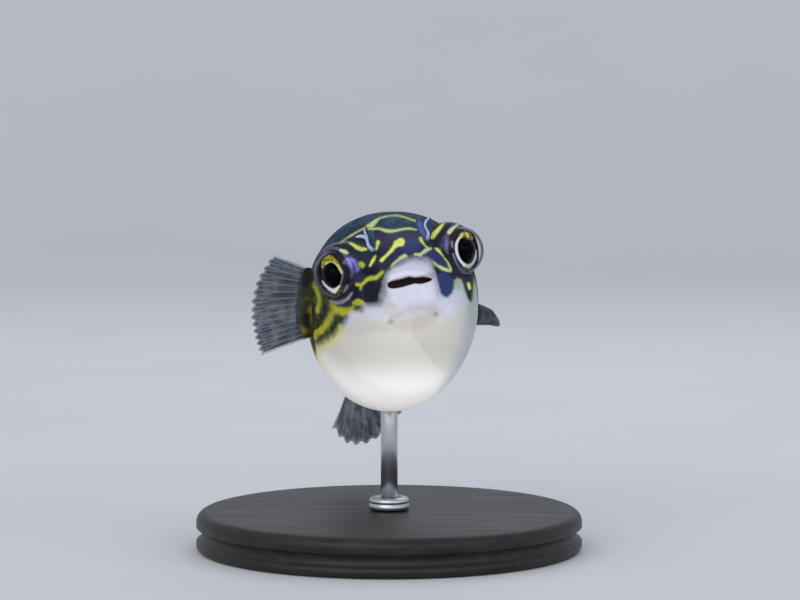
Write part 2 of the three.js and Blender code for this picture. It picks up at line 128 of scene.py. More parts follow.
def along(key, y):
    """Monotone cubic through the sections' values, even in the square root of the distance."""
    xs = np.sqrt(np.array(SECTIONS["y"], float))
    ys = np.array(SECTIONS[key], float)
    steps = np.diff(xs)
    slopes = np.diff(ys) / steps
    before, after = slopes[:-1], slopes[1:]
    near, far = steps[:-1], steps[1:]
    level = before * after <= 0
    before = np.where(level, 1, before)
    after = np.where(level, 1, after)
    mean = 3 * (near + far) / ((2 * far + near) / before + (far + 2 * near) / after)
    tangents = np.concatenate([slopes[:1], np.where(level, 0, mean), slopes[-1:]])
    x = np.sqrt(np.clip(y, 0, STANDARD_LENGTH))
    i = np.clip(np.searchsorted(xs, x) - 1, 0, len(steps) - 1)
    t = (x - xs[i]) / steps[i]
    start = (2 * t ** 3 - 3 * t ** 2 + 1) * ys[i] + (t ** 3 - 2 * t ** 2 + t) * steps[i] * tangents[i]
    end = (3 * t ** 2 - 2 * t ** 3) * ys[i + 1] + (t ** 3 - t ** 2) * steps[i] * tangents[i + 1]
    return start + end


def rolled(points, roll):
    """Points turned about the fish's length by an angle."""
    x, y, z = np.moveaxis(np.asarray(points, float), -1, 0)
    return np.stack([x * np.cos(roll) + z * np.sin(roll), y, z * np.cos(roll) - x * np.sin(roll)], -1)


def pose(points):
    """Bends the straight fish into its pose: twist, sideways sweep and tail droop."""
    y = np.asarray(points, float)[..., 1]
    aside = SWEEP_SLOPE * (np.hypot(y, SWEEP_REACH) - SWEEP_REACH)
    aside = aside - SETTLE_RATE * np.maximum(0, y - SETTLE_START) ** 2
    sag = DROOP_RATE * np.maximum(0, y - DROOP_START) ** 2
    return rolled(points, np.radians(along("roll", y))) - np.stack([aside, 0 * y, sag], -1)


def body_point(y, angle, swell=0.0):
    """A point of the straight body at a distance y and an angle (0 its left, 90 degrees its back)."""
    y, angle = np.broadcast_arrays(np.asarray(y, float), np.asarray(angle, float))
    across, rise = np.cos(angle), np.sin(angle)
    power = 2 / np.where(rise >= 0, along("upper", y), along("lower", y))
    half = along("half", y) + swell
    wide = along("wide", y)
    limit = np.where(rise >= 0, along("top", y) + swell, along("bottom", y) - swell)
    x = half * np.sign(across) * np.abs(across) ** power
    return np.stack([x, y, wide + (limit - wide) * np.abs(rise) ** power], -1)


TILT = np.array([
    [1, 0, 0],
    [0, math.cos(PITCH), math.sin(PITCH)],
    [0, -math.sin(PITCH), math.cos(PITCH)],
])
PLACE = np.array([
    -pose((0, BALANCE_POINT, 0))[0],
    -BALANCE_POINT * math.cos(PITCH),
    SNOUT_HEIGHT,
])


def to_table(points):
    """From the posed fish's own millimetres to the frame's millimetres."""
    return np.asarray(points) @ TILT.T + PLACE


VIEW_BACK = np.array([0, -math.cos(VIEW_ELEVATION), math.sin(VIEW_ELEVATION)])
VIEW_UP = np.array([0, math.sin(VIEW_ELEVATION), math.cos(VIEW_ELEVATION)])


def to_drawing(points):
    """Pixels of the front drawing, and the millimetres that one pixel covers there."""
    offset = points - PLACE
    depth = VIEW_DISTANCE - offset @ VIEW_BACK
    scale = DRAWING_SCALE * depth / VIEW_DISTANCE
    column = SNOUT_PIXEL[0] + offset[..., 0] / scale
    row = SNOUT_PIXEL[1] - (offset @ VIEW_UP) / scale
    return np.stack([column, row], -1), scale


def from_drawing(pixels, behind):
    """The points seen at pixels of the front drawing, at distances in mm behind the snout tip."""
    behind = np.asarray(behind, float)
    scale = DRAWING_SCALE * (VIEW_DISTANCE + behind) / VIEW_DISTANCE
    aside = (pixels[..., 0] - SNOUT_PIXEL[0]) * scale
    rise = (SNOUT_PIXEL[1] - pixels[..., 1]) * scale
    across = np.array([1.0, 0.0, 0.0])
    return PLACE + aside[..., None] * across + rise[..., None] * VIEW_UP - behind[..., None] * VIEW_BACK


def eye_frame(side):
    """Centre and axes (outward, up, towards the snout) of the left (1) or right (-1) eye."""
    roll = math.radians(along("roll", EYE_BACK))
    axis = (side * math.sin(EYE_OUTWARD), -math.cos(EYE_OUTWARD), -math.sin(EYE_DOWNWARD))
    out = unit(TILT @ rolled(axis, roll))
    centre = to_table(pose((side * EYE_SIDE, EYE_BACK, EYE_UP)))
    head_up = TILT @ rolled((0, 0, 1), roll)
    up = unit(head_up - out * (head_up @ out))
    snout = unit(np.cross(out, up) * side)
    return centre, out, up, snout


# ---- meshes and nodes ----

def mesh_object(name, material, points, faces, marks=None):
    """A smooth mesh from millimetre points, with its markings as float attributes and its material."""
    mesh = bpy.data.meshes.new(name)
    mesh.from_pydata((np.asarray(points) * MM).tolist(), [], faces)
    mesh.validate()
    mesh.shade_smooth()
    for key, values in (marks or {}).items():
        layer = mesh.attributes.new(key, "FLOAT", "POINT")
        layer.data.foreach_set("value", np.asarray(values, np.float32))
    mesh.materials.append(material)
    made = bpy.data.objects.new(name, mesh)
    bpy.context.scene.collection.objects.link(made)
    return made


def piece(name, material, slot, shape, *nodes):
    """A piece of the model on its body, with its material and the nodes it stands for; slot is not used."""
    made = mesh_object(name, material, *shape)
    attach(made, BODY)
    if nodes:
        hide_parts(*nodes)


def grid_faces(rows, columns, closed=False, start=0):
    """Quads of a grid of points, row after row; closed joins the last column to the first."""
    last = columns if closed else columns - 1
    faces = []
    for row in range(rows - 1):
        for column in range(last):
            after = (column + 1) % columns
            low, high = start + row * columns, start + (row + 1) * columns
            faces.append((low + column, low + after, high + after, high + column))
    return faces


def capped(rings, columns, start=1):
    """Faces of closed rings of points between one point before them and one after them."""
    faces = grid_faces(rings, columns, True, start)
    last = start + (rings - 1) * columns
    for i in range(columns):
        j = (i + 1) % columns
        faces.append((start - 1, start + j, start + i))
        faces.append((last + i, last + j, last + columns))
    return faces


def lathe(profile, segments, centre, out, up, snout):
    """Turns (radius, height) corners about an axis; corners on the axis become one point."""
    turns = np.linspace(0, 2 * math.pi, segments, endpoint=False)
    around = np.cos(turns)[:, None] * up + np.sin(turns)[:, None] * snout
    points, rings = [], []
    for radius, height in profile:
        rings.append((len(points), radius > 0))
        if radius > 0:
            points.extend(centre + out * height + radius * around)
        else:
            points.append(centre + out * height)
    faces = []
    for (low, low_ring), (high, high_ring) in zip(rings, rings[1:]):
        for i in range(segments):
            j = (i + 1) % segments
            if low_ring and high_ring:
                faces.append((low + i, low + j, high + j, high + i))
            elif high_ring:
                faces.append((low, high + j, high + i))
            else:
                faces.append((low + i, low + j, high))
    if np.dot(np.cross(out, up), snout) < 0:
        faces = [face[::-1] for face in faces]
    return np.array(points), faces


def add(tree, kind, settings=None, links=None):
    """Adds one node, its kind told without "ShaderNode". A link's value is a number, a colour, a node,
    or a node with its output's name."""
    made = tree.nodes.new("ShaderNode" + kind)
    for key, value in (settings or {}).items():
        setattr(made, key, value)
    for key, value in (links or {}).items():
        named = isinstance(value, tuple) and isinstance(value[0], bpy.types.Node)
        source = value[0] if named else value
        if isinstance(source, bpy.types.Node):
            ready = [output for output in source.outputs if output.enabled]
            tree.links.new(source.outputs[value[1]] if named else ready[0], made.inputs[key])
        else:
            made.inputs[key].default_value = value
    return made


def new_material(name):
    """An empty node material and its tree."""
    made = bpy.data.materials.new(name)
    made.use_nodes = True
    made.node_tree.nodes.clear()
    return made, made.node_tree


def finished(material, shader):
    """The material, with its shader on its output."""
    add(material.node_tree, "OutputMaterial", None, {"Surface": shader})
    return material


def per_mm(size):
    """The texture scale whose features are size millimetres apart, on metre coordinates."""
    return 1.0 / (size * MM)


# ---- markings, drawn on the front drawing: column, row and half width, all in pixels ----

NAPE_ARC = (
    (368, 226, 1.6), (372, 224, 2), (376, 220.5, 1.5), (380, 218, 0.8), (385, 216.6, 0.6),
    (391, 215.6, 0.6), (397, 215.4, 0.7), (403, 216.6, 0.8), (409, 218.8, 0.9), (416, 221, 1))
NAPE_CORNER = ((369, 229, 1.3), (372, 226, 1.6), (376, 221.5, 1.4))
NAPE_SIDE = ((340, 243.2, 0.4), (345, 239.5, 0.6), (351, 235.5, 0.9), (358, 231.5, 0.8), (365, 228, 0.8))
BETWEEN_EYES = (
    (369, 229.2, 0.9), (375, 228.6, 1.2), (380, 228.6, 1.3), (384, 230.2, 1.5), (388, 231, 1.8),
    (392, 231.2, 1.9), (396, 230.6, 1.5), (401, 229.4, 1.3), (408, 228.5, 1.1), (416, 229.4, 1))
CLUB = (
    (400.5, 242.2, 4.4), (397, 243.6, 3.4), (393.5, 247.5, 2), (389.5, 252.5, 1.5),
    (385.5, 256.5, 1.6), (381.5, 260.4, 1.7))
SNOUT_WEDGE = ((390.5, 266.2, 0.7), (396, 261.6, 1.3), (401, 258, 1.9), (405, 255.8, 2.2))
SNOUT_BAR = (
    (415.5, 254.4, 1.5), (420, 254.8, 2), (423.5, 252.2, 1.8), (427, 249.6, 1.9), (430.5, 248.5, 1.3))
SNOUT_TWIG = ((427.5, 247.8, 1.1), (424.5, 245, 1), (422, 241.5, 1.4), (420.6, 238.4, 1.7))
BROW_DROP = (
    (432.2, 236.4, 2.6), (435, 233.2, 2.4), (438, 229.8, 1.9), (441, 226, 1.5), (444, 223.2, 1))
CHEEK_WEDGE = (
    (436, 248.7, 1.2), (439, 250.8, 1.6), (441.3, 253.6, 0.9), (444, 257.6, 0.5),
    (447.5, 262, 0.7), (449.6, 266.5, 1.1), (450.6, 270, 1.2))
CHEEK_V = ((433.5, 262, 0.8), (438, 265.4, 1), (442.5, 268.4, 1.8), (447, 270, 1.7), (450.5, 270.8, 1.2))
EYE_DROP = ((378, 242, 2), (376.8, 245.5, 1.9), (376.2, 249, 1.1))
EYE_BAR = (
    (349.5, 242.8, 0.8), (353, 244.8, 1.4), (357.5, 247.4, 2), (362, 249.4, 2.2), (366, 249.2, 1.2))
CHEEK_DASH = ((375.2, 256, 0.9), (373.4, 259.5, 1.7), (371.2, 263.2, 1.3), (369.8, 266, 0.8))
CHEEK_DOT = ((360.8, 264, 2.6), (362, 265.2, 2.6))
CHEEK_LINE = (
    (382, 271.5, 1.1), (379, 275, 1.4), (375.5, 278, 2), (371, 278.4, 2.1), (367, 279.6, 1.7),
    (364, 282.4, 1.5), (361, 285, 1.7), (357.5, 284.6, 1.7))
CHEEK_TAIL = ((361, 285, 1.4), (360.4, 289.5, 0.8))
CHEEK_PATCH = ((354, 303, 1.6), (358, 302.4, 3.4), (361.5, 302, 2))
LID_STREAK = ((340.5, 250, 0.9), (344.5, 251.4, 1.9), (347.6, 253, 1.4))
FAR_LID_STREAK = ((449.3, 232.2, 1.8), (451.6, 229.6, 1.5), (454.6, 227, 0.9), (457.6, 225, 0.5))
FLANK_HOOK = (
    (313.5, 283, 1.4), (315.5, 289, 2.4), (318.5, 294.5, 1.6), (319.6, 300, 1.1), (318.6, 305.5, 1.5),
    (316.5, 310, 2.6), (313.5, 311.5, 2.9))
FLANK_EDGE = ((307, 300, 1.5), (306, 310, 1), (307, 328, 1.5), (312, 336, 2.6))
FLANK_BAND = (
    (331.5, 304, 0.8), (333.5, 307, 2.2), (336.5, 310, 3.3), (342, 311.5, 3.9), (347.5, 310.8, 2.8),
    (353, 307.5, 1.5))
FLANK_FORK = (
    (333, 312, 2.6), (329.5, 319.5, 2.6), (325, 326.5, 3), (320.5, 331, 3.3), (315, 334, 2.6))
FLANK_HAZE = ((340, 326.5, 2), (343, 331, 3.4), (341, 337, 2))
FLANK_TINGE = ((308, 348, 6), (315, 362, 5), (323, 378, 3), (333, 392, 1))
FAR_GREEN = (
    ((457.5, 282, 2.5), (458, 286, 2)),
    ((475, 281, 1.5), (474.5, 295, 3), (473, 310, 3.5), (473, 324, 1.5)))
FAR_OLIVE = (((468.5, 284, 1.6), (469.5, 288, 1.4)),)
LINES = (
    NAPE_ARC, NAPE_CORNER, NAPE_SIDE, BETWEEN_EYES, CLUB, SNOUT_WEDGE, SNOUT_BAR, SNOUT_TWIG,
    BROW_DROP, CHEEK_WEDGE, CHEEK_V, EYE_DROP, EYE_BAR, CHEEK_DASH, CHEEK_DOT, CHEEK_LINE,
    CHEEK_TAIL, CHEEK_PATCH, LID_STREAK, FAR_LID_STREAK, FLANK_HOOK, FLANK_BAND, FLANK_FORK,
    FLANK_HAZE, FLANK_EDGE, *FAR_OLIVE)
PALE_LINES = (NAPE_ARC, NAPE_CORNER, NAPE_SIDE, BETWEEN_EYES, SNOUT_WEDGE, LID_STREAK, SNOUT_BAR, CHEEK_V)
DEEP_LINES = (CHEEK_LINE, CHEEK_TAIL, CHEEK_PATCH, CHEEK_DOT, FLANK_BAND, FLANK_FORK, FLANK_HAZE)
FLANK_DULL = (FLANK_BAND, FLANK_FORK, FLANK_HAZE, CHEEK_PATCH)
FLANK_SOFT = ((316, 290, 6), (322, 305, 8), (330, 318, 9), (344, 312, 5))
# Painted rim light: thin blue-grey lines where the brows' edges catch the light.
BROW_RIM_LIGHT = (
    ((321, 253, 0.3), (326, 248, 0.5), (332, 244.6, 0.6), (339, 242.6, 0.6), (347, 241.8, 0.6)),
    ((444, 222.6, 0.3), (450, 222, 0.5), (457, 222.6, 0.6), (464, 225.4, 0.5), (470, 229.5, 0.3)))
SOCKET_RING = ((330, 301.2, 0.6), (336, 303, 1), (342, 302, 1.2), (348, 298.4, 0.9), (352, 293, 0.4))
# Painted shade where the belly turns away towards the far side.
FAR_SHADE = ((476, 300, 3), (475, 320, 5), (469, 345, 5), (459, 370, 3), (446, 390, 0.5))
NAPE_SLOPE = ((324, 244, 3), (334, 234, 5), (346, 225, 5), (358, 219, 4), (432, 219, 1), (442, 222, 1))
# A pinkish-grey tint on the chin that also serves as painted shade under the lower lip and chin.
CHIN_TINT_AND_SHADE = (
    (386, 302, 2), (393, 311, 4), (403, 313, 5), (416, 309, 4), (428, 307, 3), (438, 312, 3),
    (426, 320, 4), (404, 325, 5))

BELLY_EDGE = (
    (300, 350), (314, 347), (320, 345), (326, 342), (331, 339), (338, 331.5), (344, 325), (347.5, 320),
    (349, 314), (352, 310.5), (360, 312), (363, 308), (364, 304.5), (368, 305.5), (374, 306),
    (380, 305), (382, 301), (382.5, 290), (383.5, 283), (383.5, 276), (386, 271), (389.5, 268.5),
    (394, 266.5), (399, 264.8), (404, 262.6), (408.5, 260.4), (413, 259.5), (419, 259), (425, 259.5),
    (430, 262), (433, 266), (435.5, 270), (437.5, 275), (439, 281), (440.5, 287), (442, 293),
    (444.5, 297.5), (448, 297), (452, 293.5), (454, 288), (454.5, 281),
    (457, 278.5), (461, 279.5), (463, 284), (464.5, 291), (467, 297), (469, 301), (471.5, 302),
    (473, 296), (474, 286), (474.5, 279), (490, 277), (490, 430), (300, 430))

# Painted shade in the mouth's corners.
MOUTH_CORNER = ((424, 277, 1.5), (430, 276.5, 3), (434.5, 275, 2))
# The chin's crease and pits are dented and also darkened with painted shade.
CHIN_CREASE = (
    (389.8, 322.3, 1.4), (395, 317.5, 0.5), (400, 314.5, 0.6), (405, 310.5, 0.7), (412, 308.6, 0.3),
    (420, 308, 0.3), (429, 310, 0.6), (437.2, 314.7, 1.2))
CHIN_PITS = (((389.6, 322.4, 1.6),), ((437.3, 314.6, 1.5),), ((360, 310.3, 2),))
# The near groove beside the muzzle is dented and darkened with painted shade; the far one is only dented.
FURROW = (
    (389, 268, 0.6), (385, 273, 0.9), (383.8, 280, 1.1), (383.6, 288, 0.8), (384.5, 296, 0.4))
FAR_FURROW = ((435, 268, 0.4), (438, 276, 0.7), (440, 285, 0.7), (441.5, 293, 0.4))
FLANK_BORDER = ((312, 345, 8), (325, 340, 5), (338, 330, 4), (350, 315, 2))
UPPER_LIP = ((393, 275, 3), (402, 271.5, 4), (411, 269, 4.5), (420, 269.5, 4), (428, 271, 3))
SOFT_BORDERS = (
    ((398, 264.5, 2), (405, 261, 4), (414, 259, 5), (424, 259, 5), (431, 263, 3)),
    ((362, 306, 2), (374, 306, 3), (380, 303, 3), (383, 292, 2), (384, 283, 1)))

# Painted sheen beside each eye for its violet iridescence; the third patch is the snout's own violet-grey.
VIOLET_PATCHES = (
    ((349, 259.5, 1.6), (352.5, 263, 3), (355.5, 268.5, 2.6)),
    ((444.5, 239, 2), (443, 246, 2.6)),
    ((418, 258.5, 3), (427, 262, 2.5)),
)
NAVY_PATCHES = (
    ((405, 246, 5), (413, 246, 7)),
    ((430, 252.5, 2.5), (439, 259, 3.2), (446, 266, 2.6)),
    ((443.5, 277, 4), (449, 284, 6), (447, 292, 3)),
)
BLACK_PATCHES = (
    ((354, 291, 4.5), (356, 296, 3.5)),
    ((372, 290, 7), (371, 298, 6)),
    ((367, 271, 3.5), (374, 270, 3)),
)


def stroke_distance(pixels, stroke):
    """Pixels from a tapering stroke's edge, below zero inside it."""
    corners = np.array(stroke, float)
    if len(corners) == 1:
        corners = np.repeat(corners, 2, 0)
    best = np.full(pixels.shape[:-1], np.inf)
    for start, end in zip(corners[:-1], corners[1:]):
        reach = end[:2] - start[:2]
        t = np.clip((pixels - start[:2]) @ reach / max(reach @ reach, 1e-9), 0, 1)
        gap = np.linalg.norm(pixels - start[:2] - t[..., None] * reach, axis=-1)
        best = np.minimum(best, gap - start[2] - t * (end[2] - start[2]))
    return best


def strokes_distance(pixels, strokes):
    """Pixels from the edge of the nearest of several strokes."""
    return np.min([stroke_distance(pixels, stroke) for stroke in strokes], axis=0)


def region_distance(pixels, edge):
    """Pixels from a closed region's edge, below zero inside it."""
    corners = np.array(edge, float)
    thin = [(*a, 0) for a in corners] + [(*corners[0], 0)]
    inside = np.zeros(pixels.shape[:-1], bool)
    column, row = pixels[..., 0], pixels[..., 1]
    for (x0, y0), (x1, y1) in zip(corners, np.roll(corners, -1, 0)):
        spans = (y0 > row) != (y1 > row)
        cross = x0 + (row - y0) / (y1 - y0 if y1 != y0 else 1e-9) * (x1 - x0)
        inside ^= spans & (column < cross)
    return np.where(inside, -1, 1) * stroke_distance(pixels, thin)


# ---- markings away from the front: dark blotches of the straight fish, x to its left, y, z ----
# Each blotch keeps a yellow line round it, which makes the loops of a figure eight on the back.

BLOTCHES = (
    (0, 19.5, 12.6), (0.4, 27, 13.2), (0.2, 34, 11.4), (0, 42.8, 8), (0.2, 48.2, 6.6),
    (6.2, 16.2, 10), (-6.4, 16.6, 9.6), (6.6, 23.4, 10.4), (-6.4, 24.2, 10.6),
    (5.6, 30.6, 9.8), (-5.4, 31, 9.6), (3.6, 38.2, 8), (-3.6, 38.8, 7.8),
    (10.6, 20.4, 4.6), (-10.6, 21.2, 4.2), (9.8, 27.6, 4.8), (-9.6, 28.4, 4.6),
    (7.6, 34.6, 4.6), (-7.4, 35.2, 4.4), (3.8, 45, 3.6), (-3.8, 45.6, 3.4),
    (10.8, 16.4, 0.6), (-11, 18, -0.4), (10.8, 24.2, -0.8), (-10.6, 25, -1.2),
    (8.6, 31.4, -0.6), (-8.4, 32.2, -0.8), (5.6, 38.6, 1), (-5.4, 39.2, 0.8),
    (9.6, 20.2, -5.4), (-9.6, 21.4, -5.8), (8.8, 27.8, -5), (-8.8, 28.6, -5.4),
    (6, 34.8, -3.4), (-6, 35.4, -3.6), (1.8, 50.4, 1.2), (-1.8, 50.8, 1),
)
NET_HALF_WIDTH = 0.34
OCELLI = ((4.3, 39.6, 6.0), (-4.3, 39.9, 6.0), (2.5, 48.0, 2.2), (-2.5, 48.2, 2.2))
# An eyespot's dark middle, half its yellow ring's width, and where the dark moat round it ends.
OCELLUS_RADIUS, OCELLUS_RING, OCELLUS_MOAT = 1.5, 0.42, 2.84
BELLY_LINE = (
    (0, 0.5), (8, -1.0), (14, -3.5), (20, -6.6), (26, -6.8), (32, -5.2), (38, -3.2), (44, -1.4),
    (52, -0.6))


def net_markings(points):
    """Signed mm from the yellow net's lines, and mm above the white belly's edge, away from the front."""
    x, y, z = np.moveaxis(points, -1, 0)
    # Slow waves move the skin against the blotches, so that the lines between them bend.
    sway = np.stack([
        0.5 * np.sin(0.9 * y + 0.6 * z), 0.8 * np.sin(0.8 * z + 0.5 * x + 1.0),
        0.7 * np.sin(0.75 * y - 0.5 * x)], -1)
    gaps = np.stack([np.linalg.norm(points + sway - np.array(b), axis=-1) for b in BLOTCHES])
    two = np.partition(gaps, 1, axis=0)[:2]
    # Quick waves roughen the lines' edges, and slow ones thicken and thin them.
    ripple = 0.12 * np.sin(1.7 * y + 0.9 * x) + 0.12 * np.sin(2.3 * z - 1.1 * y)
    ripple = ripple + 0.06 * np.sin(5 * y + 4 * z)
    width = NET_HALF_WIDTH * (1 + 0.5 * np.sin(0.6 * y + 1.1 * z) * np.sin(0.9 * x - 0.5 * y + 1.0))
    line = (two[1] - two[0]) / 2 - width + ripple
    for ocellus in OCELLI:
        gap = np.linalg.norm(points - np.array(ocellus), axis=-1) + 0.5 * ripple
        ring = np.abs(gap - OCELLUS_RADIUS - OCELLUS_RING) - OCELLUS_RING
        line = np.minimum(np.maximum(line, OCELLUS_MOAT - gap), ring)
    ys, zs = np.array(BELLY_LINE, float).T
    edge = np.interp(y, ys, zs) + 0.5 * np.sin(0.9 * y) + 0.3 * np.sin(2.1 * y + 1.0)
    return line, z - edge


# ---- the skin's shape ----

SKIN_COLUMNS = 340
# Distance over the skin from the snout, and the gap between rings there.
RING_GAPS = ((0.0, 0.085), (5.0, 0.09), (8.0, 0.13), (18.0, 0.16), (28.0, 0.30), (62.0, 0.50))
PROFILE_STEPS = 3000
# Where the mouth's part of the skin ends, and where the muzzle's dents end, in mm from the snout.
MOUTH_ZONE, MUZZLE_END = (2.2, 3.4), (7, 9)
LIP_GAP, LIP_WIDTH = 0.45, 0.62
SOCKET_SINK, SOCKET_FLOOR = 2.2, 3.0
# Degrees from an eye's axis where the skin dips under the eyeball, and how far its brow reaches.
SOCKET_EDGE, BROW_REACH, BROW_BEHIND = (44, 50), 8.5, -0.6
GILL_SLIT_BACK, GILL_SLIT_HALF, GILL_SLIT_DEPTH = 17.9, 1.7, 0.55
GILL_SLIT_LEVELS, GILL_SLIT_BOW, GILL_SLIT_WIDTH = ((1, 0.2), (-1, 0.3)), 0.22, 0.26
# How much skin must face the front drawing's viewer to start and to be fully drawn by it.
FRONT_SEEN = (0.02, 0.20)
# Dents round the mouth: strokes of the front drawing, depth and width.
DENTS = (((CHIN_CREASE,), 0.07, 0.5), (CHIN_PITS, 0.16, 0.4), ((FURROW, FAR_FURROW), 0.22, 0.4))


def ring_places():
    """Distances y of the skin's rings, close together on the face and wider towards the tail."""
    y = np.linspace(0, math.sqrt(STANDARD_LENGTH), PROFILE_STEPS) ** 2
    lengths = []
    for angle in (0, math.pi / 2, math.pi * 1.5):
        steps = np.linalg.norm(np.diff(body_point(y, angle), axis=0), axis=1)
        lengths.append(np.concatenate([[0], np.cumsum(steps)]))
    length = np.mean(lengths, axis=0)
    places, gaps = np.array(RING_GAPS).T
    count = np.concatenate([[0], np.cumsum(np.diff(length) / np.interp(length[1:], places, gaps))])
    return np.interp(np.arange(1, int(count[-1]) + 1) / int(count[-1]) * count[-1], count, y)


def grid_normals(points):
    """Outward unit normals of the skin's rows of rings."""
    around = np.roll(points, -1, 1) - np.roll(points, 1, 1)
    ahead = np.gradient(points, axis=0)
    return unit(np.cross(ahead, around))


def raise_brows(points, brow_rise):
    """Draws the skin over a rounded brow behind each eyeball, and under the eyeball in front."""
    for side in (1, -1):
        centre, out, up, _ = eye_frame(side)
        inner = centre - out * SOCKET_SINK
        ray = points - inner
        reach = np.linalg.norm(ray, axis=-1)
        ray = ray / reach[..., None]
        ahead = ray @ out
        lift = SOCKET_SINK - BROW_SINK
        cuff = lift * ahead + np.sqrt(BROW_RADIUS ** 2 - lift ** 2 * (1 - ahead ** 2))
        cuff = cuff + brow_rise * np.clip(ray @ up, 0, 1)
        mix = np.clip(0.5 + 0.5 * (cuff - reach) / BROW_BLEND, 0, 1)
        joined = reach + (cuff - reach) * mix + BROW_BLEND * mix * (1 - mix) * 0.5
        under = 1 - smooth(np.degrees(np.arccos(np.clip(ahead, -1, 1))), *SOCKET_EDGE)
        joined = joined + (SOCKET_FLOOR - joined) * under
        near = (reach < BROW_REACH) & (ahead > BROW_BEHIND)
        moved = inner + ray * joined[..., None]
        points = np.where(near[..., None], moved, points)
    return points


def skin_surface(lip_swell, brow_rise):
    """Points of the whole skin in the frame's millimetres, and its markings by name."""
    places = ring_places()
    turns = np.linspace(0, 2 * math.pi, SKIN_COLUMNS, endpoint=False)
    straight = body_point(places[:, None], turns[None, :])
    x, y, z = np.moveaxis(straight, -1, 0)
    mouth_line, mouth_open = mouth_shape(x)
    from_line = np.abs(z - mouth_line)
    front = 1 - smooth(y, *MOUTH_ZONE)
    span = np.clip(1 - ((x - MOUTH_SIDE) / (MOUTH_HALF + 0.5)) ** 2, 0, 1)
    inside = np.abs(x - MOUTH_SIDE) < MOUTH_HALF
    hollow = (1 - smooth(from_line / np.maximum(mouth_open, 0.05), 0.5, 1.2)) * inside * front
    lip_gap = (from_line - mouth_open - LIP_GAP) / LIP_WIDTH
    lips = lip_swell * np.exp(-lip_gap ** 2) * np.sqrt(span) * front
    shaped = straight.copy()
    shaped[..., 1] += MOUTH_DEPTH * hollow * np.sqrt(span) - lips * (1 - hollow)

    points = to_table(pose(shaped))
    facing = smooth(grid_normals(points) @ VIEW_BACK, *FRONT_SEEN)
    points = raise_brows(points, brow_rise)
    normals = grid_normals(points)
    pixels, scale = to_drawing(points)
    dent = sum(
        depth * dip(strokes_distance(pixels, strokes) * scale, width) for strokes, depth, width in DENTS)
    points = points - normals * (dent * (facing * (1 - smooth(y, *MUZZLE_END))))[..., None]

    slit = np.zeros_like(y)
    for side, level in GILL_SLIT_LEVELS:
        bow = GILL_SLIT_BOW * ((z - level) / GILL_SLIT_HALF) ** 2
        near = np.abs(y - GILL_SLIT_BACK - bow) / GILL_SLIT_WIDTH
        reach = 1 - smooth(np.abs(z - level), GILL_SLIT_HALF * 0.7, GILL_SLIT_HALF)
        slit = np.maximum(slit, np.exp(-near ** 2) * reach * (side * x > 0))
    points = points - normals * (slit * GILL_SLIT_DEPTH)[..., None]

    marks = skin_markings(straight, pixels, scale, facing)
    marks["mouth"] = hollow
    marks["slit"] = slit
    return points, marks


def mouth_shape(x):
    """The mouth's middle height and half opening across the snout, in mm, on the straight fish."""
    u = np.clip((x - MOUTH_SIDE) / MOUTH_HALF, -1, 1)
    # The line arches in the middle and sinks at its ends; the opening narrows to the fish's left and
    # swells a little near that end. The corners are blunt on the right and pointed on the left.
    middle = MOUTH_LEVEL + 0.14 * np.exp(-(u / 0.26) ** 2) - 0.06 * u ** 2
    width = 1.0 - 0.28 * smooth(u, -0.05, 0.25) + 0.12 * np.exp(-((u - 0.5) / 0.2) ** 2)
    blunt_end = np.clip(1 - np.maximum(-u, 0) ** 7, 0, 1) ** 0.5
    pointed_end = np.clip(1 - np.maximum(u, 0) ** 5, 0, 1) ** 0.7
    return middle, MOUTH_OPEN * width * blunt_end * pointed_end


def patch(pixels, strokes, soft):
    """1 inside soft strokes of the front drawing, fading to 0 over soft pixels outside them."""
    return 1 - smooth(strokes_distance(pixels, strokes), -soft * 0.4, soft)


# Where the markings fade, in mm from the snout (END, BACK), in rows of the front drawing (ROWS) and
# in columns from its middle (HALF).
FACE_END, FLANK_BACK, TAIL_BACK = (16, 22), (8, 12), (20, 28)
NAPE_ROWS, NAPE_MIDDLE, NAPE_HALF = (227, 232), 396, (26, 40)
THROAT_ROWS, THROAT_BACK = (306, 330), (3, 9)
# Painted light from the pale ground below: the belly is painted whiter low on its front.
PAUNCH_LIGHT_ROWS, PAUNCH_BACK = (340, 405), (13, 27)
# The forehead's middle and half size on the front drawing.
FOREHEAD_COLUMN, FOREHEAD_ROW, FOREHEAD_SIZE = 400, 243, (26, 19)


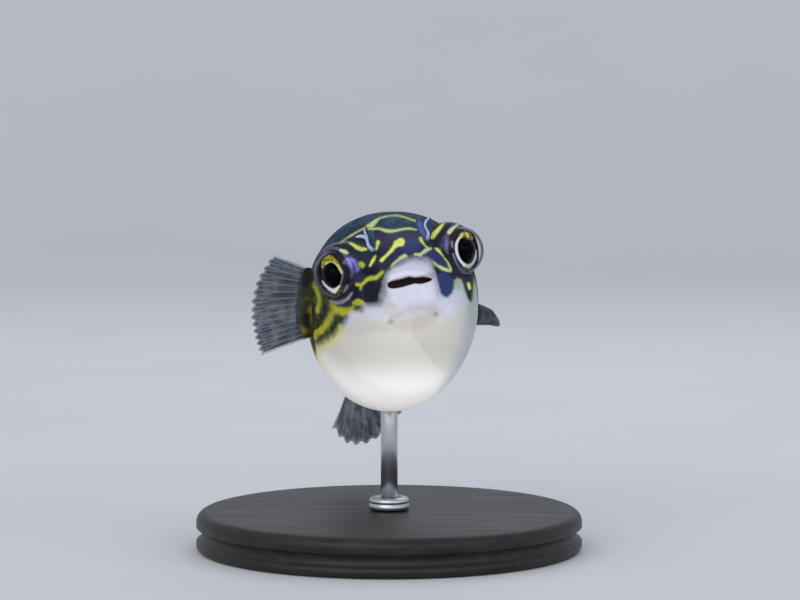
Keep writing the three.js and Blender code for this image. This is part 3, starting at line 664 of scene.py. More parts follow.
def skin_markings(straight, pixels, scale, facing):
    """The markings of skin points, from the front drawing where it is seen and the net elsewhere."""
    y, z = straight[..., 1], straight[..., 2]
    column, row = pixels[..., 0], pixels[..., 1]
    net_line, net_edge = net_markings(straight)
    drawn_line = strokes_distance(pixels, LINES) * scale
    blur = 1 + 2.5 * patch(pixels, SOFT_BORDERS, 6) + 2.0 * patch(pixels, (FLANK_BORDER,), 9)
    drawn_edge = region_distance(pixels, BELLY_EDGE) * scale / blur
    nape = facing * (1 - smooth(row, *NAPE_ROWS))
    share = facing * np.maximum(1 - smooth(y, *FACE_END), nape)
    drawn_line = drawn_line / (1 + 1.3 * patch(pixels, (FLANK_SOFT,), 8))
    marks = {
        "line": net_line + (drawn_line - net_line) * share,
        "edge": net_edge + (drawn_edge - net_edge) * facing,
        "flank": np.maximum(
            np.maximum(smooth(y, *FLANK_BACK) * (1 - smooth(z, 2, 7)), smooth(y, *TAIL_BACK)),
            0.85 * patch(pixels, FLANK_DULL, 5) * facing),
        "fore": share * np.exp(-((column - FOREHEAD_COLUMN) / FOREHEAD_SIZE[0]) ** 4
                               - ((row - FOREHEAD_ROW) / FOREHEAD_SIZE[1]) ** 4),
        "nape": np.maximum(
            nape * (1 - smooth(np.abs(column - NAPE_MIDDLE), *NAPE_HALF)),
            patch(pixels, (NAPE_SLOPE,), 5) * share),
        "throat": either(facing * smooth(row, *THROAT_ROWS), smooth(y, *THROAT_BACK)),
        "paunch": either(facing * smooth(row, *PAUNCH_LIGHT_ROWS), smooth(y, *PAUNCH_BACK)),
        "crease": facing * dip(strokes_distance(pixels, (CHIN_CREASE, *CHIN_PITS)) * scale, 0.22),
    }
    for name, strokes in (("pale", PALE_LINES), ("deep", DEEP_LINES)):
        marks[name] = smooth(0.8 - strokes_distance(pixels, strokes) * scale, 0, 0.6) * share
    for name, strokes, soft, drawn in (
            ("rim", BROW_RIM_LIGHT, 1.6, facing), ("ring", (SOCKET_RING,), 1.8, facing),
            ("haze", (CHIN_TINT_AND_SHADE,), 9, facing), ("green", FAR_GREEN, 7, facing),
            ("straw", (FLANK_TINGE,), 12, facing), ("pits", CHIN_PITS, 3.5, facing),
            ("furrow", (FURROW, MOUTH_CORNER), 4, facing), ("far", (FAR_SHADE,), 16, facing),
            ("upper_lip", (UPPER_LIP,), 5, facing), ("navy", NAVY_PATCHES, 4, share),
            ("black", BLACK_PATCHES, 5, share),
            ("violet", VIOLET_PATCHES, 4, share * (1 - 0.5 * smooth(column, 420, 435)))):
        marks[name] = patch(pixels, strokes, soft) * drawn
    return marks


def make_skin(lip_swell, brow_rise):
    """The fish's whole skin as one closed mesh: its points, faces and markings."""
    points, marks = skin_surface(lip_swell, brow_rise)
    every = np.concatenate([[points[0].mean(0)], points.reshape(-1, 3), [points[-1].mean(0)]])
    for key, values in marks.items():
        marks[key] = np.concatenate([[values[0].mean()], values.ravel(), [values[-1].mean()]])
    return every, capped(*points.shape[:2]), marks


# ---- materials ----

# Node kinds with their settings: a blend of two colours, a smooth step, a product, a sum, a product
# with a sum, noise, relief and the surface shader.
BLEND = ("Mix", {"data_type": "RGBA"})
STEP = ("MapRange", {"interpolation_type": "SMOOTHSTEP"})
TIMES = ("Math", {"operation": "MULTIPLY"})
PLUS = ("Math", {"operation": "ADD"})
TIMES_PLUS = ("Math", {"operation": "MULTIPLY_ADD"})
NOISE = ("TexNoise", {})
BUMP = ("Bump", {})
SHADER = ("BsdfPrincipled", {})
SHARE, FIRST, SECOND = 0, 6, 7
VALUE, LOW, HIGH, LEAST, MOST = 0, 1, 2, 3, 4

# Pattern sizes in millimetres. Features under about 0.25 mm are too fine to show in the render.
SKIN_DRIFT, SKIN_MOTTLE, SKIN_FOLDS = 2.6, 1.5, 1.3
# A small brush's fine and broad wobble along painted edges, and how far each moves an edge.
BRUSH_WOBBLE = ((0.28, 0.16), (1.1, 0.22))
# Prickles stand about 0.2 mm apart, too fine to show, so they are drawn twice as coarse.
PRICKLE_GAP = 0.42
EYEBALL_CLOUDS, CORNEA_CLOUDS, FLAP_CLOUDS = 0.9, 0.8, 0.5
# Leaf cracks into flecks of about 0.1 mm, too fine to show, so they are drawn coarser.
LEAF_FLECKS = 0.34
WEB_CLOUDS, ROOT_CELLS, ROOT_GRAIN = 1.6, 1.9, 0.35
# Beech has rays about 1 mm apart and pores of 0.1 mm, which are drawn coarser so that they show.
BEECH_RAYS, BEECH_PORES = 1.1, 0.35
# Brushing leaves lines some 0.03 mm apart, too fine to show, so they are drawn ten times as coarse.
BRUSH_LINES = 0.3
FLOOR_CLOUDS = 60.0

# Paint coats: marking (None for all over) and colour, then where they differ from a full, even
# coat, its share, the texture that breaks it up, and the marking's values where it starts and ends.
SKIN_GROUND = (
    (None, "dusk_blue", 1.0, "drift"), ("fore", "indigo"), ("fore", "plum", 0.9, "drift"),
    ("nape", "slate"), ("nape", "slate_pale", 0.8, "mottle"), ("flank", "olive"),
    ("flank", "moss", 1.0, "mottle"), ("navy", "navy"), ("black", "black"),
    # Painted sheen in the violet coat beside the eyes, and painted rim light along the brows.
    ("violet", "violet", 0.9, "drift"), ("rim", "brow_rim", 0.7), ("ring", "socket_ring", 0.8),
)
SKIN_LINES = (
    ("pale", "pale_line"), ("deep", "deep_line"), ("flank", "flank_yellow"),
    ("flank", "flank_ochre", 0.6, "mottle"),
)
# Painted light low on the front of the belly in the paunch coat; further back it is the belly's white.
SKIN_WHITES = (("throat", "belly"), ("paunch", "paunch"))
SKIN_TINTS = (
    ("upper_lip", "upper_lip", 0.8), ("green", "far_green"), ("straw", "border_yellow", 0.55),
    ("haze", "chin_haze", 0.36), ("far", "far_shade", 0.6),
)
SKIN_LAST = (
    # Painted shade in the grooves beside the muzzle, the mouth's corners and the chin's crease and pits.
    ("furrow", "shade", 0.45), ("crease", "smudge", 0.13), ("pits", "smudge", 0.5),
    # Painted shade darkens the gill slits, and inside the mouth adds to its lining's own maroon.
    ("mouth", "mouth", 1.0, None, 0.25, 0.75), ("slit", "mouth", 1.0, None, 0.3, 0.9),
)
# The violet coats are painted sheen, and the lilac in them painted highlights.
EYEBALL_COATS = (
    (None, "rim_brown", 1.0, "drift"), ("limb", "rim_blue"), ("violet", "rim_violet", 0.9),
    ("violet", "rim_lilac", 0.9, "drift", 0.3), ("olive", "iris_olive", 0.8, "drift"),
    ("rust", "iris_rust", 0.8, "drift"), ("ring", "rim_pale"), ("cream", "cream"), ("lash", "line"),
)
IRIS_COATS = (
    ("olive", "iris_olive", 1.0, "fleck"), ("rust", "iris_rust", 1.0, "fleck"), ("gold", "gold"),
    ("gold", "gold_shadow", 0.9, "fleck"), ("lime", "iris_lime"), ("mint", "iris_mint"),
    ("grey", "iris_grey", 0.8), ("silver", "silver"),
)
FLAP_COATS = (("blue", "flap_blue"), ("pale", "flap_pale"), ("foot", "flap_foot", 0.9))
WEB_COATS = (("ray", "ray"), ("rim", "web_edge"), ("root", "web_root"))
FLESH_COATS = (
    (None, "flesh_yellow", 1.0, "cells"), ("blotch", "flesh_dark"), ("tip", "flesh_tip"),
)


def painted(tree, under, coats, textures, colours):
    """The colour under its paint coats, as the last node laid."""
    def coat(marking, name, share=1.0, texture=None, low=0, high=1):
        """One coat over what is under it so far."""
        cover = share
        if marking:
            mark = (add(tree, "Attribute", {"attribute_name": marking}), "Fac")
            cover = add(tree, *STEP, {VALUE: mark, LOW: low, HIGH: high, MOST: share})
        if texture:
            cover = add(tree, *TIMES, {0: cover, 1: textures[texture]})
        return add(tree, *BLEND, {SHARE: cover, FIRST: under, SECOND: colours[name]})
    for layer in coats:
        under = coat(*layer)
    return under


def clouds(tree, place, size, low, high, detail=2.0, roughness=0.5):
    """Clouds of a real size in mm: their noise, and their cover, from none at low to full at high."""
    noise = add(tree, *NOISE, {
        "Vector": place, "Scale": per_mm(size), "Detail": detail, "Roughness": roughness})
    return noise, add(tree, *STEP, {VALUE: noise, LOW: low, HIGH: high})


def pufferfish_skin(colours):
    """Scaleless pufferfish skin, painted resin under matt lacquer: the colours stay deep from every
    side, and the prickles break what sheen there is into a fine grain."""
    material, tree = new_material("Pufferfish skin, painted under matt lacquer")
    place = (add(tree, "TexCoord"), "Object")
    cloud, drift = clouds(tree, place, SKIN_DRIFT, 0.38, 0.66, 3.0, 0.55)
    mottle = clouds(tree, place, SKIN_MOTTLE, 0.45, 0.60, 3.0, 0.6)[1]
    textures = {"drift": drift, "mottle": mottle}
    # Half the wobbles' sum is taken off, so that hand-painted edges waver about their own place.
    wobble = -0.19
    for size, move in BRUSH_WOBBLE:
        noise = add(tree, *NOISE, {"Vector": place, "Scale": per_mm(size)})
        wobble = add(tree, *TIMES_PLUS, {0: noise, 1: move, 2: wobble})
    line, edge = [
        add(tree, *PLUS, {0: (add(tree, "Attribute", {"attribute_name": name}), "Fac"), 1: wobble})
        for name in ("line", "edge")]

    ground = painted(tree, colours["dusk"], SKIN_GROUND, textures, colours)
    yellow = painted(tree, colours["yellow"], SKIN_LINES, textures, colours)
    core = add(tree, *STEP, {VALUE: line, LOW: -0.16, HIGH: 0.09})
    fringe = add(tree, *BLEND, {SHARE: core, FIRST: yellow, SECOND: colours["fringe"]})
    rim = add(tree, *STEP, {VALUE: line, LOW: -0.04, HIGH: 0.18})
    upper = add(tree, *BLEND, {SHARE: rim, FIRST: fringe, SECOND: ground})

    flank = (add(tree, "Attribute", {"attribute_name": "flank"}), "Fac")
    tinge = add(tree, *BLEND, {SHARE: flank, FIRST: colours["border"], SECOND: colours["border_yellow"]})
    near = add(tree, *STEP, {VALUE: edge, LOW: -1.2, HIGH: 0.1})
    white = colours["lip"]
    for coats in (SKIN_WHITES, SKIN_TINTS):
        white = add(tree, *BLEND, {SHARE: near, FIRST: white, SECOND: tinge})
        white = painted(tree, white, coats, textures, colours)
    border = add(tree, *STEP, {VALUE: edge, LOW: -0.22, HIGH: 0.26})
    whole = add(tree, *BLEND, {SHARE: border, FIRST: white, SECOND: upper})
    whole = painted(tree, whole, SKIN_LAST, textures, colours)

    prickles = add(tree, "TexVoronoi", None, {
        "Vector": place, "Scale": per_mm(PRICKLE_GAP), "Randomness": 0.85})
    peaks = add(tree, *STEP, {VALUE: prickles, HIGH: 0.34, LEAST: 1.0, MOST: 0.0})
    bump = add(tree, *BUMP, {"Strength": 0.28, "Distance": 0.05 * MM, "Height": peaks})
    folds = add(tree, *NOISE, {"Vector": place, "Scale": per_mm(SKIN_FOLDS), "Detail": 4.0})
    bump = add(tree, *BUMP, {
        "Strength": 0.25, "Distance": 0.12 * MM, "Height": folds, "Normal": bump})
    gloss = add(tree, *STEP, {VALUE: cloud, LOW: 0.3, HIGH: 0.7, LEAST: 0.40, MOST: 0.52})
    return finished(material, add(tree, *SHADER, {
        "Base Color": whole, "Roughness": gloss, "IOR": 1.45, "Normal": bump,
        "Subsurface Weight": 0.08, "Subsurface Radius": (1.0, 0.7, 0.6), "Subsurface Scale": 0.3 * MM,
        "Specular IOR Level": 0.025}))


def eyeball_coat(colours):
    """The eyeball's white and skin-coloured rim, painted and varnished: violet sheen, pale crescents."""
    material, tree = new_material("Eyeball, painted and varnished")
    place = (add(tree, "TexCoord"), "Object")
    cloud, drift = clouds(tree, place, EYEBALL_CLOUDS, 0.38, 0.64, 3.0)
    tone = painted(tree, colours["rim_dark"], EYEBALL_COATS, {"drift": drift}, colours)
    folds = add(tree, *BUMP, {"Strength": 0.2, "Distance": 0.06 * MM, "Height": cloud})
    return finished(material, add(tree, *SHADER, {
        "Base Color": tone, "Roughness": 0.35, "IOR": 1.45, "Normal": folds,
        "Specular IOR Level": 0.10, "Coat Weight": 0.05, "Coat Roughness": 0.1}))


def iris_foil(colours):
    """The iris, gold and silver leaf under lacquer: thin bright crescents broken by dark flecks."""
    material, tree = new_material("Iris, gold and silver leaf under lacquer")
    place = (add(tree, "TexCoord"), "Object")
    dots, fleck = clouds(tree, place, LEAF_FLECKS, 0.42, 0.56, 3.0, 0.6)
    leaf = painted(tree, colours["iris_dark"], IRIS_COATS, {"fleck": fleck}, colours)
    relief = add(tree, *BUMP, {"Strength": 0.3, "Distance": 0.04 * MM, "Height": dots})
    return finished(material, add(tree, *SHADER, {
        "Base Color": leaf, "Roughness": 0.35, "IOR": 1.45, "Normal": relief, "Specular IOR Level": 0.15,
        "Coat Weight": 0.1, "Coat Roughness": 0.1}))


def pupil_glass(colours):
    """The pupil, a bead of black glass: nearly black with a blue depth towards its limb."""
    material, tree = new_material("Pupil, black glass bead")
    depth = (add(tree, "LayerWeight", None, {"Blend": 0.35}), "Facing")
    tone = add(tree, *BLEND, {SHARE: depth, FIRST: colours["pupil"], SECOND: colours["pupil_edge"]})
    return finished(material, add(tree, *SHADER, {
        "Base Color": tone, "Roughness": 0.05, "IOR": 1.5, "Specular IOR Level": 0.04}))


def clear_cornea(colours):
    """The cornea, cast clear resin: clear from in front, with a grey-violet haze along its limb."""
    material, tree = new_material("Cornea, cast clear resin")
    place = (add(tree, "TexCoord"), "Object")
    limb = (add(tree, "LayerWeight", None, {"Blend": 0.5}), "Facing")
    haze = add(tree, *STEP, {VALUE: limb, LOW: 0.42, HIGH: 0.70, MOST: 0.88})
    share = clouds(tree, place, CORNEA_CLOUDS, 0.35, 0.65)[1]
    tone = add(tree, *BLEND, {SHARE: share, FIRST: colours["haze"], SECOND: colours["haze_deep"]})
    shell = add(tree, *SHADER, {
        "Base Color": tone, "Roughness": 0.05, "IOR": 1.38, "Specular IOR Level": 0.2,
        "Coat Weight": 0.1, "Coat Roughness": 0.02})
    clear = add(tree, "BsdfTransparent")
    return finished(material, add(tree, "MixShader", None, {0: haze, 1: clear, 2: shell}))


def flap_resin(colours):
    """Nostril flaps, tinted cast resin: teal film, milky-blue ridges, a painted highlight down each."""
    material, tree = new_material("Nostril flap, tinted cast resin")
    place = (add(tree, "TexCoord"), "Object")
    cloud, share = clouds(tree, place, FLAP_CLOUDS, 0.4, 0.65, 3.0)
    film = add(tree, *BLEND, {SHARE: share, FIRST: colours["flap_film"], SECOND: colours["flap_deep"]})
    tone = painted(tree, film, FLAP_COATS, {}, colours)
    bump = add(tree, *BUMP, {"Strength": 0.2, "Distance": 0.05 * MM, "Height": cloud})
    return finished(material, add(tree, *SHADER, {
        "Base Color": tone, "Roughness": 0.35, "IOR": 1.45, "Normal": bump, "Specular IOR Level": 0.15,
        "Subsurface Weight": 0.2, "Subsurface Radius": (0.7, 0.8, 1.0), "Subsurface Scale": 0.3 * MM}))


def fin_film(colours):
    """Fin web, thin cast film over stiff rays: smoky and see-through, milky along rays and edges."""
    material, tree = new_material("Fin web, cast film over rays")
    place = (add(tree, "TexCoord"), "Object")
    cloud = add(tree, *NOISE, {"Vector": place, "Scale": per_mm(WEB_CLOUDS), "Detail": 4.0})
    tone = painted(tree, colours["web"], WEB_COATS, {}, colours)
    thin = add(tree, *STEP, {VALUE: cloud, LOW: 0.3, HIGH: 0.7, LEAST: 0.8, MOST: 1.2})
    body = (add(tree, "Attribute", {"attribute_name": "cover"}), "Fac")
    cover = add(tree, "Math", {"operation": "MULTIPLY", "use_clamp": True}, {0: body, 1: thin})
    bump = add(tree, *BUMP, {"Strength": 0.3, "Distance": 0.05 * MM, "Height": cloud})
    return finished(material, add(tree, *SHADER, {
        "Base Color": tone, "Roughness": 0.4, "IOR": 1.45, "Normal": bump, "Alpha": cover,
        "Specular IOR Level": 0.2}))


def fin_flesh(colours):
    """Fin roots, painted like the skin: olive and near-black flesh with dull yellow clouds."""
    material, tree = new_material("Fin root flesh, painted under matt lacquer")
    place = (add(tree, "TexCoord"), "Object")
    cells = clouds(tree, place, ROOT_CELLS, 0.44, 0.62, 2.0, 0.4)[1]
    tone = painted(tree, colours["flesh_olive"], FLESH_COATS, {"cells": cells}, colours)
    grain = add(tree, *NOISE, {"Vector": place, "Scale": per_mm(ROOT_GRAIN)})
    bump = add(tree, *BUMP, {"Strength": 0.3, "Distance": 0.05 * MM, "Height": grain})
    return finished(material, add(tree, *SHADER, {
        "Base Color": tone, "Roughness": 0.5, "IOR": 1.45, "Normal": bump, "Specular IOR Level": 0.05}))


def ebonised_wood(colours):
    """Turned beech, stained black and waxed: faint straight grain shows through a satin sheen."""
    material, tree = new_material("Beech, turned, ebonised and waxed")
    place = (add(tree, "TexCoord"), "Object")
    stretch = add(tree, "Mapping", None, {"Vector": place, "Scale": (0.12, 1.0, 1.0)})
    grain, share = clouds(tree, stretch, BEECH_RAYS, 0.35, 0.68, 5.0, 0.6)
    pores = add(tree, *NOISE, {"Vector": stretch, "Scale": per_mm(BEECH_PORES)})
    tone = add(tree, *BLEND, {SHARE: share, FIRST: colours["wood"], SECOND: colours["wood_grain"]})
    bump = add(tree, *BUMP, {"Strength": 0.2, "Distance": 0.05 * MM, "Height": pores})
    gloss = add(tree, *STEP, {VALUE: grain, LOW: 0.3, HIGH: 0.7, LEAST: 0.38, MOST: 0.5})
    return finished(material, add(tree, *SHADER, {
        "Base Color": tone, "Roughness": gloss, "IOR": 1.5, "Normal": bump, "Specular IOR Level": 0.35}))


def brushed_steel(colours):
    """Stainless steel, turned and brushed: fine rings across the rod that blur its highlights."""
    material, tree = new_material("Stainless steel, turned and brushed")
    place = (add(tree, "TexCoord"), "Object")
    squash = add(tree, "Mapping", None, {"Vector": place, "Scale": (0.04, 0.04, 1.0)})
    rings = add(tree, *NOISE, {"Vector": squash, "Scale": per_mm(BRUSH_LINES)})
    tone = add(tree, *BLEND, {SHARE: rings, FIRST: colours["steel"], SECOND: colours["steel_dark"]})
    bump = add(tree, *BUMP, {"Strength": 0.02, "Distance": 0.01 * MM, "Height": rings})
    gloss = add(tree, *STEP, {VALUE: rings, LOW: 0.3, HIGH: 0.7, LEAST: 0.28, MOST: 0.33})
    return finished(material, add(tree, *SHADER, {
        "Base Color": tone, "Metallic": 1.0, "Roughness": gloss, "Normal": bump}))


def studio_card(colours):
    """Matt painted board for the floor: plain and pale, with a trace of paint texture."""
    material, tree = new_material("Floor board, matt painted")
    place = (add(tree, "TexCoord"), "Object")
    cloud = add(tree, *NOISE, {"Vector": place, "Scale": per_mm(FLOOR_CLOUDS)})
    tone = add(tree, *BLEND, {SHARE: cloud, FIRST: colours["floor"], SECOND: colours["floor_shade"]})
    return finished(material, add(tree, *SHADER, {"Base Color": tone, "Roughness": 0.8}))


# ---- eyes ----

EYE_SEGMENTS = 144
LID_HEIGHT, LID_SWELL, LID_WIDTH = 0.08, 0.34, 0.34
LID_GROOVE, LID_GROOVE_DEPTH, LID_GROOVE_WIDTH = 0.70, 0.08, 0.12
IRIS_LEVEL, IRIS_OUTER = 0.86, 2.70
CORNEA_EDGE = 1.04
PUPIL_RADIUS, PUPIL_LEVEL, PUPIL_BULGE = 1.56, 0.90, 1.18

# Painted sheen on the eyeballs towards the snout, for their violet iridescence.
RIM_VIOLET = (
    ((344.5, 262.5, 1), (348, 260.5, 2.2), (352, 264, 2.6), (354.5, 270, 1.6)),
    ((447.5, 240, 1), (447, 244, 1.8), (446, 248.5, 1.2)))
RIM_CREAM = (((347.6, 285.5, 0.3), (346.2, 288.5, 0.7), (343.8, 291.8, 0.4)),)
# Grey-lilac rings under the eyes; the last stroke is a painted highlight on the far eyeball.
RIM_RING_AND_HIGHLIGHT = (
    ((323, 296.5, 0.6), (328, 301, 0.9), (334, 303, 1.1), (340, 301.5, 1.4), (345.5, 297, 1.3),
     (350, 291, 0.6)),
    ((453.2, 254, 0.7), (455.6, 261, 1.2), (459.4, 268, 1.5), (464, 273.4, 1.7), (469, 275.6, 1.9),
     (475, 272.6, 1.4), (480, 266, 0.9), (483.5, 257, 0.6)),
    ((451.8, 242, 0.7), (452.4, 246.5, 0.6)))
IRIS_SILVER = (
    ((322.2, 281, 0.3), (324.8, 284.8, 0.6), (328.2, 288, 0.8), (331.6, 290, 1.3), (334.4, 291, 2),
     (336.8, 288.8, 1.3), (339.4, 286, 0.5)),
    ((461.5, 236.4, 0.4), (458.4, 239.2, 0.8), (456.6, 243.4, 1.1), (456.2, 248.4, 1.1),
     (457, 253.4, 1.1), (458.8, 258, 1), (461.4, 262, 1), (464.5, 264.8, 1.2)))
IRIS_MINT = (
    ((464, 265.4, 1.3), (469, 266.2, 1.6), (472.6, 263.6, 1), (475, 259.4, 0.9), (476.2, 255, 1.1),
     (476.4, 250.5, 0.5)),)
IRIS_GREY = (((340, 285, 0.3), (341.9, 280, 0.4), (342.8, 275, 0.4), (342.8, 270.5, 0.3)),)
IRIS_GOLD = (
    ((322.4, 267, 0.8), (323.4, 263.6, 1.8), (326, 260.4, 2.8), (329.5, 258.6, 3),
     (332.6, 260.2, 2.6), (335.6, 262.8, 2), (338.6, 266.2, 1.4), (340.8, 269.5, 0.8)),
    ((459, 238.4, 0.8), (461.5, 235.4, 2), (464.8, 234.2, 2.4), (468.6, 235.4, 2.1), (471.8, 238.2, 1.1)))
IRIS_LIME = (
    ((326, 263.6, 0.8), (330, 262.4, 0.9), (334, 263.4, 1.1), (337.4, 266, 1.1), (340.2, 269.6, 0.9),
     (341.8, 273, 0.6)),
    ((461, 237.4, 0.9), (461.9, 234.2, 0.9)), ((466, 233.2, 0.7), (468, 237, 0.7)))
IRIS_OLIVE = (
    ((323.5, 286, 1.5), (327, 291.5, 2.6), (331.5, 295.5, 2.4)), ((463, 269, 1.2), (471, 270.4, 1.6)))
IRIS_RUST = (((333, 297.5, 1.6), (337.5, 292.6, 2.4), (341, 287.4, 1.6)),)


def eyeball_profile(lid_swell):
    """Corners of the eyeball: a ball with a soft lid fold at its middle and a seat for the iris."""
    back = [(0.0, -1.9)]
    heights = np.concatenate([
        np.linspace(-1.85, -0.2, 8), np.linspace(-0.12, 0.62, 20), np.linspace(0.66, CORNEA_EDGE, 10)])
    for height in heights:
        radius = math.sqrt(EYE_RADIUS ** 2 - height ** 2)
        fold = lid_swell * math.exp(-((height - LID_HEIGHT) / LID_WIDTH) ** 2)
        groove = LID_GROOVE_DEPTH * math.exp(-((height - LID_GROOVE) / LID_GROOVE_WIDTH) ** 2)
        back.append((radius + fold - groove, height))
    edge = back[-1][0]
    return back + [
        (edge - 0.06, CORNEA_EDGE + 0.02), (IRIS_OUTER + 0.03, CORNEA_EDGE - 0.05),
        (IRIS_OUTER, IRIS_LEVEL - 0.1), (0.0, IRIS_LEVEL - 0.14)]


def iris_profile():
    """Corners of the iris: a thin dished ring with a rounded crest at the pupil."""
    top = [(1.50, 0.60), (1.53, 0.84), (1.58, 0.94), (1.65, 0.98)]
    for radius in np.linspace(1.74, IRIS_OUTER, 12):
        top.append((radius, IRIS_LEVEL + 0.13 * (1 - smooth(radius, 1.6, IRIS_OUTER))))
    return [(0.0, 0.60)] + top


def pupil_profile(bulge):
    """Corners of the bulging lens."""
    turns = np.linspace(0, math.pi / 2, 12)
    dome = [(PUPIL_RADIUS * math.cos(t), PUPIL_LEVEL + bulge * math.sin(t)) for t in turns]
    dome[-1] = (0.0, dome[-1][1])
    return [(0.0, 0.7), (PUPIL_RADIUS, 0.7)] + dome


def cornea_profile():
    """Corners of the clear dome over the iris."""
    edge = math.asin(CORNEA_EDGE / EYE_RADIUS)
    turns = np.linspace(edge, math.pi / 2, 24)
    dome = [(EYE_RADIUS * math.cos(t), EYE_RADIUS * math.sin(t)) for t in turns]
    dome[-1] = (0.0, EYE_RADIUS)
    return dome


def rim_marks(points, side):
    """Markings of the eyeball's coat."""
    centre, out, _, _ = eye_frame(side)
    height = (points - centre) @ out
    pixels, scale = to_drawing(points)
    line = strokes_distance(pixels, (LID_STREAK, FAR_LID_STREAK)) * scale
    return {
        "violet": patch(pixels, RIM_VIOLET, 3.0) * (1 if side < 0 else 0.5),
        "ring": 0.85 * patch(pixels, RIM_RING_AND_HIGHLIGHT, 1.6),
        "cream": 0.8 * patch(pixels, RIM_CREAM, 2.4),
        "lash": 1 - smooth(line, -0.04, 0.12),
        "limb": smooth(height, -0.25, 0.0) * (1 - smooth(height, 0.34, 0.52)),
        **low_flecks(pixels),
    }


def iris_marks(points):
    """Markings of the iris: its silver and gold crescents and its dark flecks."""
    pixels, _ = to_drawing(points)
    marks = {name: patch(pixels, strokes, soft) for name, strokes, soft in (
        ("silver", IRIS_SILVER, 0.9), ("mint", IRIS_MINT, 0.9), ("grey", IRIS_GREY, 0.9),
        ("gold", IRIS_GOLD, 1.2), ("lime", IRIS_LIME, 1.2))}
    return {**marks, **low_flecks(pixels)}


def low_flecks(pixels):
    """Olive and bronze flecks low on the eye, across the iris and the eyeball's rim."""
    return {"olive": patch(pixels, IRIS_OLIVE, 2.5), "rust": patch(pixels, IRIS_RUST, 2.5)}


# ---- nostril flaps: each limb runs from its foot in the skin to its tip, with its place on the
# front drawing, its distance behind the snout tip in mm, and its half width in pixels ----

NOSTRIL_FLAPS = {
    "nostril_right": (
        ("film", 0.7, (
            (373, 251.5, 7.4, 1.4), (372.6, 246, 7.5, 2.6), (371.6, 239.5, 7.5, 3.4),
            (370.6, 233.5, 7.5, 2.8), (369.5, 229.5, 7.5, 1))),
        ("ridge", 0.8, (
            (374.6, 252.4, 7.4, 2), (371.6, 249.3, 6.9, 1.9), (368.8, 246, 6.7, 1.5),
            (367.4, 242, 6.6, 1.35), (366.4, 238.6, 6.5, 1.5), (363, 236.5, 6.4, 1.6),
            (359, 236.4, 6.3, 1.25), (355, 237.3, 6.3, 0.5))),
        ("ridge", 0.8, (
            (367.3, 241.5, 6.7, 1), (366.6, 237.5, 6.5, 1.35), (365.4, 234, 6.3, 1.1),
            (364.7, 231.6, 6.2, 0.9), (364.5, 229.6, 6.2, 0.4))),
    ),
    "nostril_left": (
        ("film", 0.7, (
            (427.5, 240, 7.8, 1.4), (429.2, 233.5, 7.4, 2.2), (429, 227, 7.2, 2.5),
            (429.4, 222, 7.1, 2), (430.6, 217.6, 7, 0.7))),
        ("leaf", 0.8, (
            (426.8, 241, 7.8, 1.6), (424.8, 235.5, 7.3, 2.5), (422.2, 230.5, 7.1, 3.1),
            (420, 225, 6.9, 3.1), (418.6, 220, 6.8, 2.4), (418, 216.3, 6.8, 0.8))),
        ("ridge", 0.8, (
            (426.6, 241.5, 7.8, 1.6), (427.7, 237.5, 7.2, 1.7), (428.3, 233.5, 6.9, 1.4),
            (427, 230.3, 6.8, 1.15), (425.2, 226.8, 6.6, 1.1), (425.2, 223, 6.5, 1.05),
            (427, 220, 6.5, 0.9), (430.6, 217, 6.6, 0.45))),
    ),
}
FLAP_STEPS, FLAP_SIDES = 34, 20
# The least half width of a limb in pixels, a film's half thickness in mm, and how much less pale a
# ridge is at its sides.
# Ridges are painted palest down their middles as a highlight, and darker towards their sides.
LEAST_LIMB, FILM_THICK, FLAT_LIMB = 0.3, 0.11, 0.75


def curve_points(knots, count):
    """Points evenly along a smooth curve through the knots."""
    knots = np.array(knots, float)
    padded = np.concatenate([[2 * knots[0] - knots[1]], knots, [2 * knots[-1] - knots[-2]]])
    t = np.linspace(0, len(knots) - 1, count)
    i = np.minimum(t.astype(int), len(knots) - 2)
    f = (t - i)[:, None]
    a, b, c, d = padded[i], padded[i + 1], padded[i + 2], padded[i + 3]
    bend = (2 * a - 5 * b + 4 * c - d) * f ** 2
    return 0.5 * (2 * b + (c - a) * f + bend + (3 * b - a - 3 * c + d) * f ** 3)


def swept(path, across, widths, thicknesses, sides):
    """A closed limb of elliptic rings along a path; across is the wide way at each ring."""
    across = unit(across)
    through = unit(np.cross(unit(np.gradient(path, axis=0)), across))
    turns = np.linspace(0, 2 * math.pi, sides, endpoint=False)
    rings = (path[:, None] + across[:, None] * (np.cos(turns)[None, :, None] * widths[:, None, None])
             + through[:, None] * (np.sin(turns)[None, :, None] * thicknesses[:, None, None]))
    points = np.concatenate([path[:1], rings.reshape(-1, 3), path[-1:]])
    return points, capped(len(path), sides), np.cos(turns)


